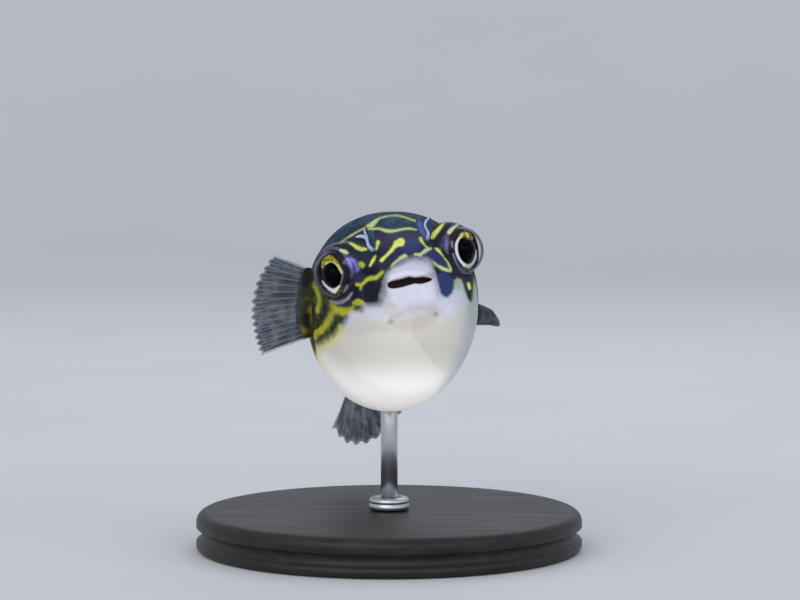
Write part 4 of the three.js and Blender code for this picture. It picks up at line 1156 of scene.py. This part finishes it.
def nostril_flap(limbs, fullness):
    """A forked flap of thin limbs: films, broad leaves and rounded pale ridges."""
    parts, faces = [], []
    marks = {"blue": [], "pale": [], "foot": []}
    s = np.linspace(0, 1, FLAP_STEPS)
    end = np.sqrt(np.clip(1 - smooth(s, 0.9, 1.0) ** 2, 0.04, 1))
    fade = (1 - smooth(s, 0.55, 0.95))[:, None]
    even = np.ones((FLAP_STEPS, FLAP_SIDES))
    for kind, flatness, knots in limbs:
        ridge = kind == "ridge"
        line = curve_points(knots, FLAP_STEPS)
        path = from_drawing(line[:, :2], line[:, 2])
        widths = np.maximum(line[:, 3], LEAST_LIMB) * DRAWING_SCALE * end
        thick = (widths if ridge else np.minimum(widths, FILM_THICK)) * flatness
        across = np.cross(unit(np.gradient(path, axis=0)), VIEW_BACK)
        points, sides, around = swept(path, across, widths * fullness, thick * fullness, FLAP_SIDES)
        start = sum(len(part) for part in parts)
        parts.append(points)
        faces.extend([tuple(i + start for i in side) for side in sides])
        # Painted highlight: leaves bluer and ridges paler down their middles than at their sides.
        margin = np.abs(around)[None, :] ** 2 * even
        limb_marks = {
            "blue": even if ridge else (1 - margin) * fade * (kind == "leaf"),
            "pale": (1 - FLAT_LIMB * margin * margin) * ridge,
            "foot": (1 - smooth(s, 0.0, 0.22))[:, None] * even,
        }
        for key, values in limb_marks.items():
            marks[key].extend([values[0].mean(), *values.ravel(), values[-1].mean()])
    return np.concatenate(parts), faces, marks


# ---- fins, in the posed fish's millimetres ----

LOBE_BLOTCHES = (((304, 262, 6.0), (305, 280, 7.0)), ((306, 315, 3.0), (307, 324, 2.5)))

FIN_STEPS, FIN_ROWS, LOBE_SIDES, RIM_POINTS = 22, 46, 36, 200
WEB_THICK, RAY_THICK = 0.05, 0.13
# How far a web is cut back between rays and in waves, and how deep its pleats are, in mm.
SCALLOP, WAVE, PLEAT = 0.045, 0.02, 0.07
# A ray's fork, half width and taper, as shares of the gap between rays.
RAY_FORK, RAY_WIDTH, RAY_TAPER = 0.24, 0.11, 0.04
# Where a lobe starts and ends, as shares of the way from a fin's root to its edge.
LOBE_START, LOBE_END, LOBE_RINGS = -0.10, 0.27, 22
DORSAL_START, DORSAL_END, DORSAL_LENGTH = 36.2, 42.0, 7.4
TAIL_FAN, TAIL_LENGTH = 22, 13


def root_line(start, end, depth):
    """A fin's root over the body, from one (y, angle in degrees) to another, sunk by depth."""
    def root(u):
        """The root's point at a share u of its length."""
        y = start[0] + (end[0] - start[0]) * u
        angle = np.radians(start[1] + (end[1] - start[1]) * u)
        return pose(body_point(y, angle, -depth))
    return root


def dorsal_tips():
    """The dorsal fin's edge: it lies back and swings a little to one side."""
    tips = []
    for u in np.linspace(0, 1, 5):
        start = pose(body_point(DORSAL_START + (DORSAL_END - DORSAL_START) * u, math.pi / 2))
        lean = math.radians(56 + 16 * u)
        aside = math.sin(math.radians(16 * (1 + u)))
        heading = np.array([-aside, math.sin(lean), math.cos(lean)])
        tips.append(start + heading * DORSAL_LENGTH * (1 - 0.42 * u * u))
    return tips


def tail_root(u):
    """The tail fin's root, down the end of the tail."""
    top = along("top", STANDARD_LENGTH) - 0.3
    bottom = along("bottom", STANDARD_LENGTH) + 0.3
    height = top + (bottom - top) * np.asarray(u, float)
    return pose(np.stack([0 * height, 0 * height + STANDARD_LENGTH - 0.6, height], -1))


def tail_tips():
    """The tail fin's rounded edge."""
    tips = []
    for u in np.linspace(0, 1, 7):
        turn = math.radians(TAIL_FAN * (0.5 - u))
        length = TAIL_LENGTH * (1 - 0.13 * abs(2 * u - 1) ** 2.5)
        tips.append(tail_root(u) + np.array([0.8, length * math.cos(turn), length * math.sin(turn)]))
    return tips


# Each fin: its root, its number of rays, its lobe's half thickness in mm, the depth of its pleats,
# its edge's points, how its middle bows out in mm, and the nodes of its web and its lobe.
FINS = {
    "pectoral_right": {
        "root": root_line((18.6, 162), (20.4, 198), 0.5), "rays": 15, "lobe": 1.15, "fold": 0.5,
        "tips": ((-17.6, 21.5, 6.9), (-19.7, 23.2, 3.8), (-20.5, 24.5, -0.1), (-20.2, 24.6, -3.4),
                 (-19.2, 24.2, -6.1)),
        "bow": (0, -0.6, 0), "blotched": True,
        "stands_for": ("pectoral_right_fin", "pectoral_right_base"),
    },
    "pectoral_left": {
        "root": root_line((19.8, -2), (20.8, -14), 0.5), "rays": 15, "lobe": 0.6, "fold": 0.35,
        "tips": ((10.9, 22.5, -0.6), (11.6, 23.8, -1.4), (11.9, 25.6, -1.9), (11.6, 27.4, -1.9),
                 (10.8, 28.4, -1.5)),
        "bow": (0.5, 0, 0), "blotched": False,
        "stands_for": ("pectoral_left_fin", "pectoral_left_base"),
    },
    "anal": {
        "root": root_line((38.5, 270), (44.2, 270), 0.4), "rays": 9, "lobe": 0.85, "fold": 0.4,
        "tips": ((-0.9, 41.2, -11.9), (-3, 44.2, -14.1), (-5.8, 46.6, -15.6), (-8.6, 48.2, -15.6),
                 (-10.6, 49, -13.2)),
        "bow": (0.2, 0, -0.3), "blotched": False,
        "stands_for": ("anal_fin", "anal_base"),
    },
    "dorsal": {
        "root": root_line((DORSAL_START, 90), (DORSAL_END, 90), 0.4), "rays": 9, "lobe": 0.85,
        "fold": 0.4, "tips": dorsal_tips(), "bow": (0.3, 0, 0.2), "blotched": False,
        "stands_for": ("dorsal_fin", "dorsal_base"),
    },
    "caudal": {
        "root": tail_root, "rays": 9, "lobe": 0.0, "fold": 0.45, "tips": tail_tips(),
        "bow": (-0.4, 0, 0), "blotched": False, "stands_for": ("caudal_fin", None),
    },
}


def fin_middle(fin, u, v):
    """The fin's middle surface: u across its rays and v from its root to its edge."""
    u, v = np.broadcast_arrays(np.asarray(u, float), np.asarray(v, float))
    rim = curve_points(fin["tips"], RIM_POINTS + 1)
    clamped = np.clip(u, 0, 1) * RIM_POINTS
    low = np.minimum(clamped.astype(int), RIM_POINTS - 1)
    end = rim[low] + (rim[low + 1] - rim[low]) * (clamped - low)[..., None]
    start = fin["root"](u)
    bow = np.array(fin["bow"], float) * (4 * v * (1 - v))[..., None]
    return start + (end - start) * v[..., None] + bow


def ray_field(place, v):
    """How much of a ray is at a place counted in rays across the fin: rays fork halfway out."""
    gap = np.abs(np.abs(place - np.round(place)) - RAY_FORK * smooth(v, 0.45, 0.95))
    return np.exp(-(gap / (RAY_WIDTH - RAY_TAPER * v)) ** 2)


def sheet_normals(points):
    """Unit normals of an open grid of points."""
    return unit(np.cross(np.gradient(points, axis=0), np.gradient(points, axis=1)))


def fin_web(fin, web_thick, ray_thick):
    """A fin's thin web with its rays, scalloped between the ray tips and gently pleated."""
    rows, columns = FIN_ROWS, (fin["rays"] - 1) * FIN_STEPS // 2 + 1
    u, v = np.broadcast_arrays(np.linspace(0, 1, columns)[None, :], np.linspace(0, 1, rows)[:, None] ** 0.9)
    place = u * (fin["rays"] - 1)
    notch = 0.5 - 0.5 * np.cos(2 * math.pi * place)
    reach = v * (1 - SCALLOP * notch * smooth(v, 0.7, 1.0) - WAVE * np.sin(5 * u + 1) ** 2)
    middle = to_table(fin_middle(fin, u, reach))
    pleat = fin["fold"] * PLEAT * np.cos(2 * math.pi * place) * smooth(v, 0.05, 0.5)
    middle = middle + sheet_normals(middle) * pleat[..., None]
    rays = ray_field(place, v)
    lift = sheet_normals(middle) * (web_thick + ray_thick * rays * (1 - 0.75 * v))[..., None]
    points = np.concatenate([(middle + lift).reshape(-1, 3), (middle - lift).reshape(-1, 3)])
    faces = grid_faces(rows, columns)
    faces += [face[::-1] for face in grid_faces(rows, columns, False, rows * columns)]
    numbers = np.arange(rows * columns).reshape(rows, columns)
    loop = np.concatenate([
        numbers[0], numbers[1:, -1], numbers[-1, -2::-1], numbers[-2:0:-1, 0]]).tolist()
    for a, b in zip(loop, loop[1:] + loop[:1]):
        faces.append((a, a + rows * columns, b + rows * columns, b))
    # The film covers least between its rays, and most at its root and along its first ray.
    lead = np.exp(-(np.minimum(u, 1.5 * (1 - u)) / 0.03) ** 2)
    root = 1 - smooth(v, 0.12, 0.34)
    cover = 0.70 + 0.10 * rays * (1 - 0.45 * v) + 0.4 * root + 0.15 * lead
    marks = {
        "ray": rays, "rim": np.maximum(0.6 * smooth(v, 0.93, 1.0), lead), "root": root,
        "cover": np.clip(cover, 0, 1)}
    return points, faces, {key: np.tile(values.ravel(), 2) for key, values in marks.items()}


def fin_lobe(fin):
    """The fleshy lobe that carries a fin's rays, rounded off where the web leaves it."""
    v = np.linspace(LOBE_START, LOBE_END, LOBE_RINGS)
    path = to_table(fin_middle(fin, 0.5, v))
    wide = to_table(fin_middle(fin, 1.04, v)) - to_table(fin_middle(fin, -0.04, v))
    s = (v - v[0]) / (v[-1] - v[0])
    end = np.sqrt(np.clip(1 - smooth(s, 0.45, 1.0) ** 2, 0.01, 1))
    widths = np.linalg.norm(wide, axis=-1) / 2 * (0.55 + 0.45 * end)
    thick = fin["lobe"] * (1 - 0.55 * s) * (0.25 + 0.75 * end)
    thick[-1] = 0.05
    points, faces, around = swept(path, wide, widths, thick, LOBE_SIDES)
    tip = np.concatenate([[0], np.repeat(smooth(s, 0.55, 1.0), len(around)), [1]])
    pixels, _ = to_drawing(points)
    blotch = patch(pixels, LOBE_BLOTCHES, 4) if fin["blotched"] else 0.7 * np.ones(len(points))
    return points, faces, {"tip": tip, "blotch": blotch}


# ---- stand ----

UPRIGHT = (np.array([0.0, 0, 1]), np.array([1.0, 0, 0]), np.array([0.0, 1, 0]))
BASE_RADIUS, BASE_HEIGHT, BASE_ROUND = 25.0, 5.0, 1.3
ROD_RADIUS, ROD_FOOT, ROD_ROUND = 1.1, 2.22, 0.3
COLLAR_RADIUS, COLLAR_HEIGHT, COLLAR_ROUND = 2.6, 1.6, 0.5


def base_profile():
    """Corners of the turned base: flat below, a cove on its side and a rounded top edge."""
    radius, high = BASE_RADIUS, BASE_HEIGHT
    corners = [(0, 0), (radius - 0.8, 0), (radius - 0.3, 0.15), (radius, 0.6), (radius, 1.2)]
    for t in np.linspace(0, 1, 9):
        corners.append((radius - 0.35 - 0.35 * math.sin(math.pi * t), 1.4 + 1.5 * t))
    corners.append((radius, 3.1))
    for t in np.linspace(0, math.pi / 2, 12):
        corners.append((
            radius - BASE_ROUND * (1 - math.cos(t)), high - BASE_ROUND + BASE_ROUND * math.sin(t)))
    return corners + [(18.0, high), (8.0, high), (0, high)]


def collar_profile(low):
    """Corners of the rod's collar: a rounded ring with a fine turned groove."""
    radius, high = COLLAR_RADIUS, COLLAR_HEIGHT
    corners = [
        (ROD_RADIUS, 0), (radius - 0.15, 0), (radius, 0.15), (radius, 0.7), (radius - 0.12, 0.78),
        (radius - 0.12, 0.9), (radius, 0.98)]
    for t in np.linspace(0, math.pi / 2, 8):
        corners.append((
            radius - COLLAR_ROUND * (1 - math.cos(t)),
            high - COLLAR_ROUND + COLLAR_ROUND * math.sin(t)))
    corners += [(ROD_RADIUS + 0.35, high), (ROD_RADIUS, high - 0.2)]
    return [(r, h + low) for r, h in corners]


def rod_profile(low, top):
    """Corners of the rod, from its foot to its rounded tip inside the fish."""
    return [
        (0, low), (ROD_RADIUS, low), (ROD_RADIUS, top - ROD_ROUND), (ROD_RADIUS - ROD_ROUND, top), (0, top)]


# ---- settings ----

def paint(name, description, hex_colour):
    """A colour setting whose default is an sRGB hex value."""
    return bpy.props.FloatVectorProperty(
        name=name, description=description, subtype="COLOR", size=3, min=0, max=1,
        default=linear(hex_colour))


def measure(name, description, millimetres):
    """A length setting whose default is a real size in millimetres."""
    return bpy.props.FloatProperty(
        name=name, description=description, default=millimetres * MM, min=0, unit="LENGTH", precision=5)


class PufferSkinSettings(bpy.types.PropertyGroup):
    indigo: paint("Forehead", "Dark indigo ground of the forehead", "#292d50")
    plum: paint("Forehead drift", "Plum drift in the forehead's ground", "#363050")
    dusk: paint("Dusk", "Dark ground round the eyes and on the cheeks", "#25262e")
    dusk_blue: paint("Dusk drift", "Bluish drift in the dark ground", "#30354a")
    slate: paint("Nape", "Slate blue of the nape", "#1c314a")
    slate_pale: paint("Nape drift", "Paler teal drift in the nape", "#2f4d62")
    olive: paint("Flank blotch", "Dark olive of the flanks' blotches", "#26271f")
    moss: paint("Flank drift", "Mossy drift in the flanks' ground", "#474829")
    navy: paint("Navy patch", "Navy of the snout and the far cheek", "#303a6c")
    black: paint("Cheek patch", "Near black of the near cheek", "#1c1e27")
    violet: paint("Violet sheen", "Violet patches beside the eyes", "#998de2")
    # Painted rim light along the brows.
    brow_rim: paint("Brow rim", "Blue-grey line along the brows", "#6b7c90")
    socket_ring: paint("Socket ring", "Grey-lilac ring under the near eye", "#93929f")
    yellow: paint("Yellow line", "Yellow of the face's lines", "#eaee74")
    pale_line: paint("Pale line", "Pale green of the nape's and snout's lines", "#c4d39a")
    deep_line: paint("Deep line", "Deep yellow of the cheek's lines", "#b4b42e")
    flank_yellow: paint("Flank yellow", "Deep yellow of the flanks' lines", "#aca52a")
    flank_ochre: paint("Flank ochre", "Duller drift in the flanks' yellow", "#87852a")
    fringe: paint("Line fringe", "Dull green along the lines' edges", "#69793f")
    lip: paint("Lips", "Cool white of the lips and chin", "#c6c6d6")
    upper_lip: paint("Upper lip", "Grey-lilac shade of the upper lip", "#cccadc")
    belly: paint("Belly", "Warm white of the belly", "#c1bfb9")
    # Painted light low on the belly's front; further back, the belly's own white.
    paunch: paint("Paunch", "Clean white low on the belly", "#faf8fa")
    # Painted shade where the belly turns away.
    far_shade: paint("Far shade", "Blue-grey where the belly turns to the far side", "#9fabbc")
    border: paint("Belly border", "Grey-violet where white meets the ground", "#bcc0d0")
    border_yellow: paint("Flank border", "Yellowish white low on the flanks", "#c9c68c")
    far_green: paint("Far flank", "Pale green on the far flank", "#a3b094")
    # The chin's pinkish tint, and painted shade under the lower lip and chin.
    chin_haze: paint("Chin haze", "Pinkish-grey clouds on the chin", "#a39a8e")
    # Painted shade in the grooves beside the muzzle and the mouth's corners.
    shade: paint("Muzzle shade", "Grey-green shade round the muzzle", "#6e7464")
    # Painted shade in the chin's crease and pits.
    smudge: paint("Chin smudge", "Grey-brown of the chin's crease", "#7f7d78")
    # The mouth lining's own maroon, with painted shade inside the mouth and in the gill slits.
    mouth: paint("Mouth", "Dark maroon inside the mouth", "#39282c")
    lip_swell: measure("Lip swell", "How far the lips stand out", 0.34)
    brow_rise: measure("Brow rise", "How much higher the brow stands above each eye", 0.38)


class PufferEyeSettings(bpy.types.PropertyGroup):
    rim_dark: paint("Eyeball", "Dark ground of the eyeball's coat", "#1d1a2e")
    rim_brown: paint("Eyeball drift", "Brown drift in the eyeball's coat", "#35303c")
    rim_blue: paint("Eye ring", "Grey-blue ring of soft skin round the eyeball", "#565c70")
    rim_violet: paint("Eyeball sheen", "Violet patch towards the snout", "#6a5ea6")
    # Painted highlights in the violet sheen.
    rim_lilac: paint("Eyeball light", "Pale lilac clouds in the violet", "#a9a0dc")
    # Also the colour of a painted highlight on the far eyeball.
    rim_pale: paint("Pale ring", "Grey-lilac ring under the eye", "#8f8ea4")
    cream: paint("Cream crescent", "Cream crescent under the eye", "#bdb9ad")
    line: paint("Yellow streak", "Yellow streak over the eye", "#d2d99a")
    silver: paint("Silver leaf", "Silver of the iris", "#f6f6fb")
    gold: paint("Gold leaf", "Gold at the iris's top", "#c2b31e")
    gold_shadow: paint("Gold shadow", "Bronze flecks in the gold", "#544600")
    iris_lime: paint("Lime leaf", "Bright yellow-green edge of the gold", "#dfe07a")
    iris_mint: paint("Mint leaf", "Pale green silver of the far eye's foot", "#bccfc8")
    iris_grey: paint("Grey leaf", "Grey line along the pupil's snout side", "#8b8a98")
    iris_olive: paint("Iris olive", "Olive flecks low on the iris", "#6a744e")
    iris_rust: paint("Iris bronze", "Bronze flecks low on the iris", "#6a5a14")
    iris_dark: paint("Iris edge", "Dark outer ring of the iris", "#14121c")
    pupil: paint("Pupil", "Black of the pupil", "#020204")
    pupil_edge: paint("Pupil edge", "Blue-black at the pupil's limb", "#070812")
    haze: paint("Cornea haze", "Grey-violet haze on the cornea's limb", "#535a74")
    haze_deep: paint("Cornea haze, deep", "Deeper part of the cornea's haze", "#3a405a")
    pupil_bulge: measure("Pupil bulge", "How far the lens bulges from its rim", PUPIL_BULGE)
    lid_swell: measure("Lid fold", "How far the soft fold round the eyeball swells", LID_SWELL)


class PufferFlapSettings(bpy.types.PropertyGroup):
    flap_film: paint("Film", "Teal film of the nostril flaps", "#3d566c")
    flap_deep: paint("Film drift", "Darker drift in the film", "#2c3f56")
    flap_blue: paint("Leaf", "Milky blue of the broad leaf", "#6172b8")
    flap_pale: paint("Ridge", "Pale blue-white of the ridges", "#b9c6ec")
    flap_foot: paint("Foot", "Grey-lilac foot of the flaps", "#6d6f8a")
    fullness: bpy.props.FloatProperty(
        name="Fullness", description="Width of the limbs, against their own", default=1.2, min=0.5, max=2)


class PufferFinSettings(bpy.types.PropertyGroup):
    web: paint("Web", "Smoky film between the rays", "#333b47")
    ray: paint("Ray", "Rays, paler than the film", "#6f7988")
    web_edge: paint("Edge", "Whitish leading edge", "#bcc5d0")
    web_root: paint("Web root", "Olive-grey near the root", "#34372f")
    flesh_dark: paint("Root, dark", "Near black of the fin roots", "#1d1f1c")
    flesh_olive: paint("Root, olive", "Dark olive of the fin roots", "#33351f")
    flesh_yellow: paint("Root, yellow", "Dull yellow clouds on the fin roots", "#6f6c26")
    flesh_tip: paint("Root tip", "Grey where the root meets the web", "#3d444f")
    web_thickness: measure("Web thickness", "Half the thickness of the film", WEB_THICK)
    ray_thickness: measure("Ray thickness", "How far a ray stands out of the film", RAY_THICK)


class PufferStandSettings(bpy.types.PropertyGroup):
    wood: paint("Wood", "Ebonised beech", "#141312")
    wood_grain: paint("Wood grain", "Paler grain of the beech", "#2a2623")
    steel: paint("Steel", "Brushed stainless steel", "#c9cbce")
    steel_dark: paint("Steel grooves", "Darker steel in the grooves", "#b9bbbf")


class PufferStageSettings(bpy.types.PropertyGroup):
    floor: paint("Floor", "Pale painted board", "#dfe0e2")
    floor_shade: paint("Floor drift", "Slightly darker drift in the paint", "#d6d8db")
    floor_size: measure("Floor size", "Side of the square floor", 4000.0)


def chosen(group):
    """One group's settings by name: lengths in millimetres, and colours with a full alpha."""
    settings = getattr(bpy.context.scene, group)
    values = {}
    for key in settings.__annotations__:
        value = getattr(settings, key)
        if not isinstance(value, float):
            value = (*value, 1.0)
        elif settings.bl_rna.properties[key].unit == "LENGTH":
            value = value / MM
        values[key] = value
    return values


# ---- operators ----

# Where the floor starts to bend up, its bend's radius, and how far it lies under the stand.
SWEEP_BACK, SWEEP_BEND, FLOOR_DROP = 500.0, 700.0, 0.02
SKY_COLOUR, SKY_STRENGTH = "#dfe5ee", 0.78
FISH_MIDDLE = (0, -8, 36)
# Area lights: name, place, aim and sides in mm, power in watts and colour.
LIGHTS = (
    ("key", (-420, -950, 640), FISH_MIDDLE, (1400, 700), 4.9, "#fff9f2"),
    ("fill", (700, -900, 460), FISH_MIDDLE, (1200, 360), 1.6, "#eaf0ff"),
    ("bounce", (4, -78, -12), (0, -6, 26), (150, 70), 0.078, "#fffaf4"),
    ("back", (60, 300, 300), FISH_MIDDLE, (300, 160), 0.22, "#eef3ff"),
)


def soft_light(name, place, aim, size, power, hex_colour):
    """An area light at a place in millimetres, turned towards its aim and hidden from the camera."""
    lamp = bpy.data.lights.new(name, "AREA")
    lamp.shape = "RECTANGLE"
    lamp.size, lamp.size_y = size[0] * MM, size[1] * MM
    lamp.energy = power
    lamp.color = linear(hex_colour)
    holder = bpy.data.objects.new(name, lamp)
    heading = Vector(place) - Vector(aim)
    holder.location = Vector(place) * MM
    holder.rotation_euler = heading.to_track_quat("Z", "Y").to_euler()
    holder.visible_camera = False
    bpy.context.scene.collection.objects.link(holder)
    return holder


def floor_sweep(size):
    """Points and faces of the floor, which bends up into a backdrop far behind the fish."""
    half = size / 2
    bend = [(SWEEP_BACK + SWEEP_BEND * math.sin(t), SWEEP_BEND * (1 - math.cos(t)))
            for t in np.linspace(0, math.pi / 2, 24)]
    section = [(-half, 0.0), *bend, (SWEEP_BACK + SWEEP_BEND, size)]
    points = [(x, y, z - FLOOR_DROP) for y, z in section for x in np.linspace(-half, half, 3)]
    return points, grid_faces(len(section), 3)


class PUFFER_OT_skin(bpy.types.Operator):
    """Make the whole skin with its lips, brows, gill slits and markings"""
    bl_idname = "puffer.skin"
    bl_label = "Skin"

    def execute(self, context):
        values = chosen("puffer_skin")
        shape = make_skin(values["lip_swell"], values["brow_rise"])
        piece("skin", pufferfish_skin(values), "skin_upper", shape,
              "upper_jaw", "lower_jaw", "head", "back", "belly", "tail_peduncle")
        return {"FINISHED"}


class PUFFER_OT_eyes(bpy.types.Operator):
    """Make both eyes: eyeball, iris, lens and clear cornea"""
    bl_idname = "puffer.eyes"
    bl_label = "Eyes"

    def execute(self, context):
        values = chosen("puffer_eyes")
        coat, foil = eyeball_coat(values), iris_foil(values)
        glass, resin = pupil_glass(values), clear_cornea(values)
        for side, word in ((1, "left"), (-1, "right")):
            place = eye_frame(side)
            ball = lathe(eyeball_profile(values["lid_swell"]), EYE_SEGMENTS, *place)
            marked = (*ball, rim_marks(ball[0], side))
            piece(f"eyeball_{word}_skin", coat, "eyeball", marked, f"eyeball_{word}")
            ring = lathe(iris_profile(), EYE_SEGMENTS, *place)
            piece(f"iris_{word}_leaf", foil, "iris", (*ring, iris_marks(ring[0])), f"iris_{word}")
            bead = lathe(pupil_profile(values["pupil_bulge"]), EYE_SEGMENTS // 2, *place)
            piece(f"pupil_{word}_bead", glass, "pupil", bead, f"pupil_{word}")
            dome = lathe(cornea_profile(), EYE_SEGMENTS, *place)
            piece(f"cornea_{word}", resin, "eyeball", dome)
        return {"FINISHED"}


class PUFFER_OT_flaps(bpy.types.Operator):
    """Make the forked flaps over the nostrils"""
    bl_idname = "puffer.flaps"
    bl_label = "Nostril flaps"

    def execute(self, context):
        values = chosen("puffer_flaps")
        resin = flap_resin(values)
        for name, limbs in NOSTRIL_FLAPS.items():
            piece(f"{name}_flap", resin, "tentacle", nostril_flap(limbs, values["fullness"]), name)
        return {"FINISHED"}


class PUFFER_OT_fins(bpy.types.Operator):
    """Make the five fins and their fleshy roots"""
    bl_idname = "puffer.fins"
    bl_label = "Fins"

    def execute(self, context):
        values = chosen("puffer_fins")
        film, flesh = fin_film(values), fin_flesh(values)
        for name, fin in FINS.items():
            web_node, lobe_node = fin["stands_for"]
            web = fin_web(fin, values["web_thickness"], values["ray_thickness"])
            piece(f"{name}_web", film, "fin_web", web, web_node)
            if lobe_node:
                piece(f"{name}_root", flesh, "fin_base", fin_lobe(fin), lobe_node)
        return {"FINISHED"}


class PUFFER_OT_stand(bpy.types.Operator):
    """Make the turned base, the collar and the rod"""
    bl_idname = "puffer.stand"
    bl_label = "Stand"

    def execute(self, context):
        values = chosen("puffer_stand")
        wood, steel = ebonised_wood(values), brushed_steel(values)
        low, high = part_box("stand_rod")
        foot = np.array([(low[0] + high[0]) / 2 / MM, (low[1] + high[1]) / 2 / MM, 0.0])
        collar_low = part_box("stand_collar")[0][2] / MM
        for name, material, slot, corners, segments, centre in (
                ("base", wood, "base_wood", base_profile(), 192, np.zeros(3)),
                ("collar", steel, "stand_steel", collar_profile(collar_low), 96, foot),
                ("rod", steel, "stand_steel", rod_profile(ROD_FOOT, high[2] / MM), 64, foot)):
            turned = lathe(corners, segments, centre, *UPRIGHT)
            piece(f"stand_{name}_turned", material, slot, turned, f"stand_{name}")
        return {"FINISHED"}


class PUFFER_OT_stage(bpy.types.Operator):
    """Lay the pale floor, hang the soft lights and set the camera, once the skin is made"""
    bl_idname = "puffer.stage"
    bl_label = "Stage and camera"

    def execute(self, context):
        values = chosen("puffer_stage")
        floor = mesh_object("stage_floor", studio_card(values), *floor_sweep(values["floor_size"]))

        scene = context.scene
        world = bpy.data.worlds.new("Soft studio")
        world.use_nodes = True
        background = world.node_tree.nodes["Background"]
        background.inputs["Color"].default_value = (*linear(SKY_COLOUR), 1.0)
        background.inputs["Strength"].default_value = SKY_STRENGTH
        scene.world = world
        scene.view_settings.view_transform = "Standard"
        lamps = {row[0]: soft_light(*row) for row in LIGHTS}
        # The bounce is the light that pale ground would send up to the belly. It stands below the
        # floor, so only the skin takes it and only the skin shades it.
        lit = bpy.data.collections.new("lit_by_bounce")
        lit.objects.link(bpy.data.objects["skin"])
        lamps["bounce"].light_linking.receiver_collection = lit
        lamps["bounce"].light_linking.blocker_collection = lit

        lens = bpy.data.cameras.new("camera")
        lens.sensor_width = SENSOR
        lens.lens = SENSOR * VIEW_DISTANCE / (DRAWING_SCALE * SHEET[0])
        lens.shift_x = (SHEET[0] / 2 - SNOUT_PIXEL[0]) / SHEET[0]
        lens.shift_y = (SNOUT_PIXEL[1] - SHEET[1] / 2) / SHEET[0]
        lens.clip_start, lens.clip_end = 0.01, 20
        camera = bpy.data.objects.new("camera", lens)
        camera.location = Vector(PLACE + VIEW_BACK * VIEW_DISTANCE) * MM
        camera.rotation_euler = Vector(VIEW_BACK).to_track_quat("Z", "Y").to_euler()
        scene.collection.objects.link(camera)
        scene.camera = camera
        return {"FINISHED"}


class PUFFER_PT_panel(bpy.types.Panel):
    """Lists the steps that make the model"""
    bl_label = "Pufferfish"
    bl_space_type = "VIEW_3D"
    bl_region_type = "UI"
    bl_category = "Pufferfish"

    def draw(self, context):
        for group, step in zip(SETTINGS, STEPS):
            box = self.layout.box()
            box.operator(step.bl_idname, text=step.bl_label)
            settings = getattr(context.scene, group)
            for key in settings.__annotations__:
                box.prop(settings, key)


SETTINGS = {
    "puffer_skin": PufferSkinSettings,
    "puffer_eyes": PufferEyeSettings,
    "puffer_flaps": PufferFlapSettings,
    "puffer_fins": PufferFinSettings,
    "puffer_stand": PufferStandSettings,
    "puffer_stage": PufferStageSettings,
}
STEPS = (
    PUFFER_OT_skin, PUFFER_OT_eyes, PUFFER_OT_flaps, PUFFER_OT_fins, PUFFER_OT_stand, PUFFER_OT_stage)
CLASSES = (*SETTINGS.values(), *STEPS, PUFFER_PT_panel)


def register():
    """Registers the settings, steps and panel, and hangs the settings on the scene."""
    for item in CLASSES:
        bpy.utils.register_class(item)
    for name, group in SETTINGS.items():
        setattr(bpy.types.Scene, name, bpy.props.PointerProperty(type=group))


def unregister():
    """Takes the settings off the scene and unregisters everything."""
    for name in SETTINGS:
        delattr(bpy.types.Scene, name)
    for item in reversed(CLASSES):
        bpy.utils.unregister_class(item)


def main():
    """Makes every piece and the stage."""
    register()
    bpy.ops.puffer.skin()
    bpy.ops.puffer.eyes()
    bpy.ops.puffer.flaps()
    bpy.ops.puffer.fins()
    bpy.ops.puffer.stand()
    bpy.ops.puffer.stage()
    bpy.context.view_layer.update()


if __name__ == "__main__":
    main()
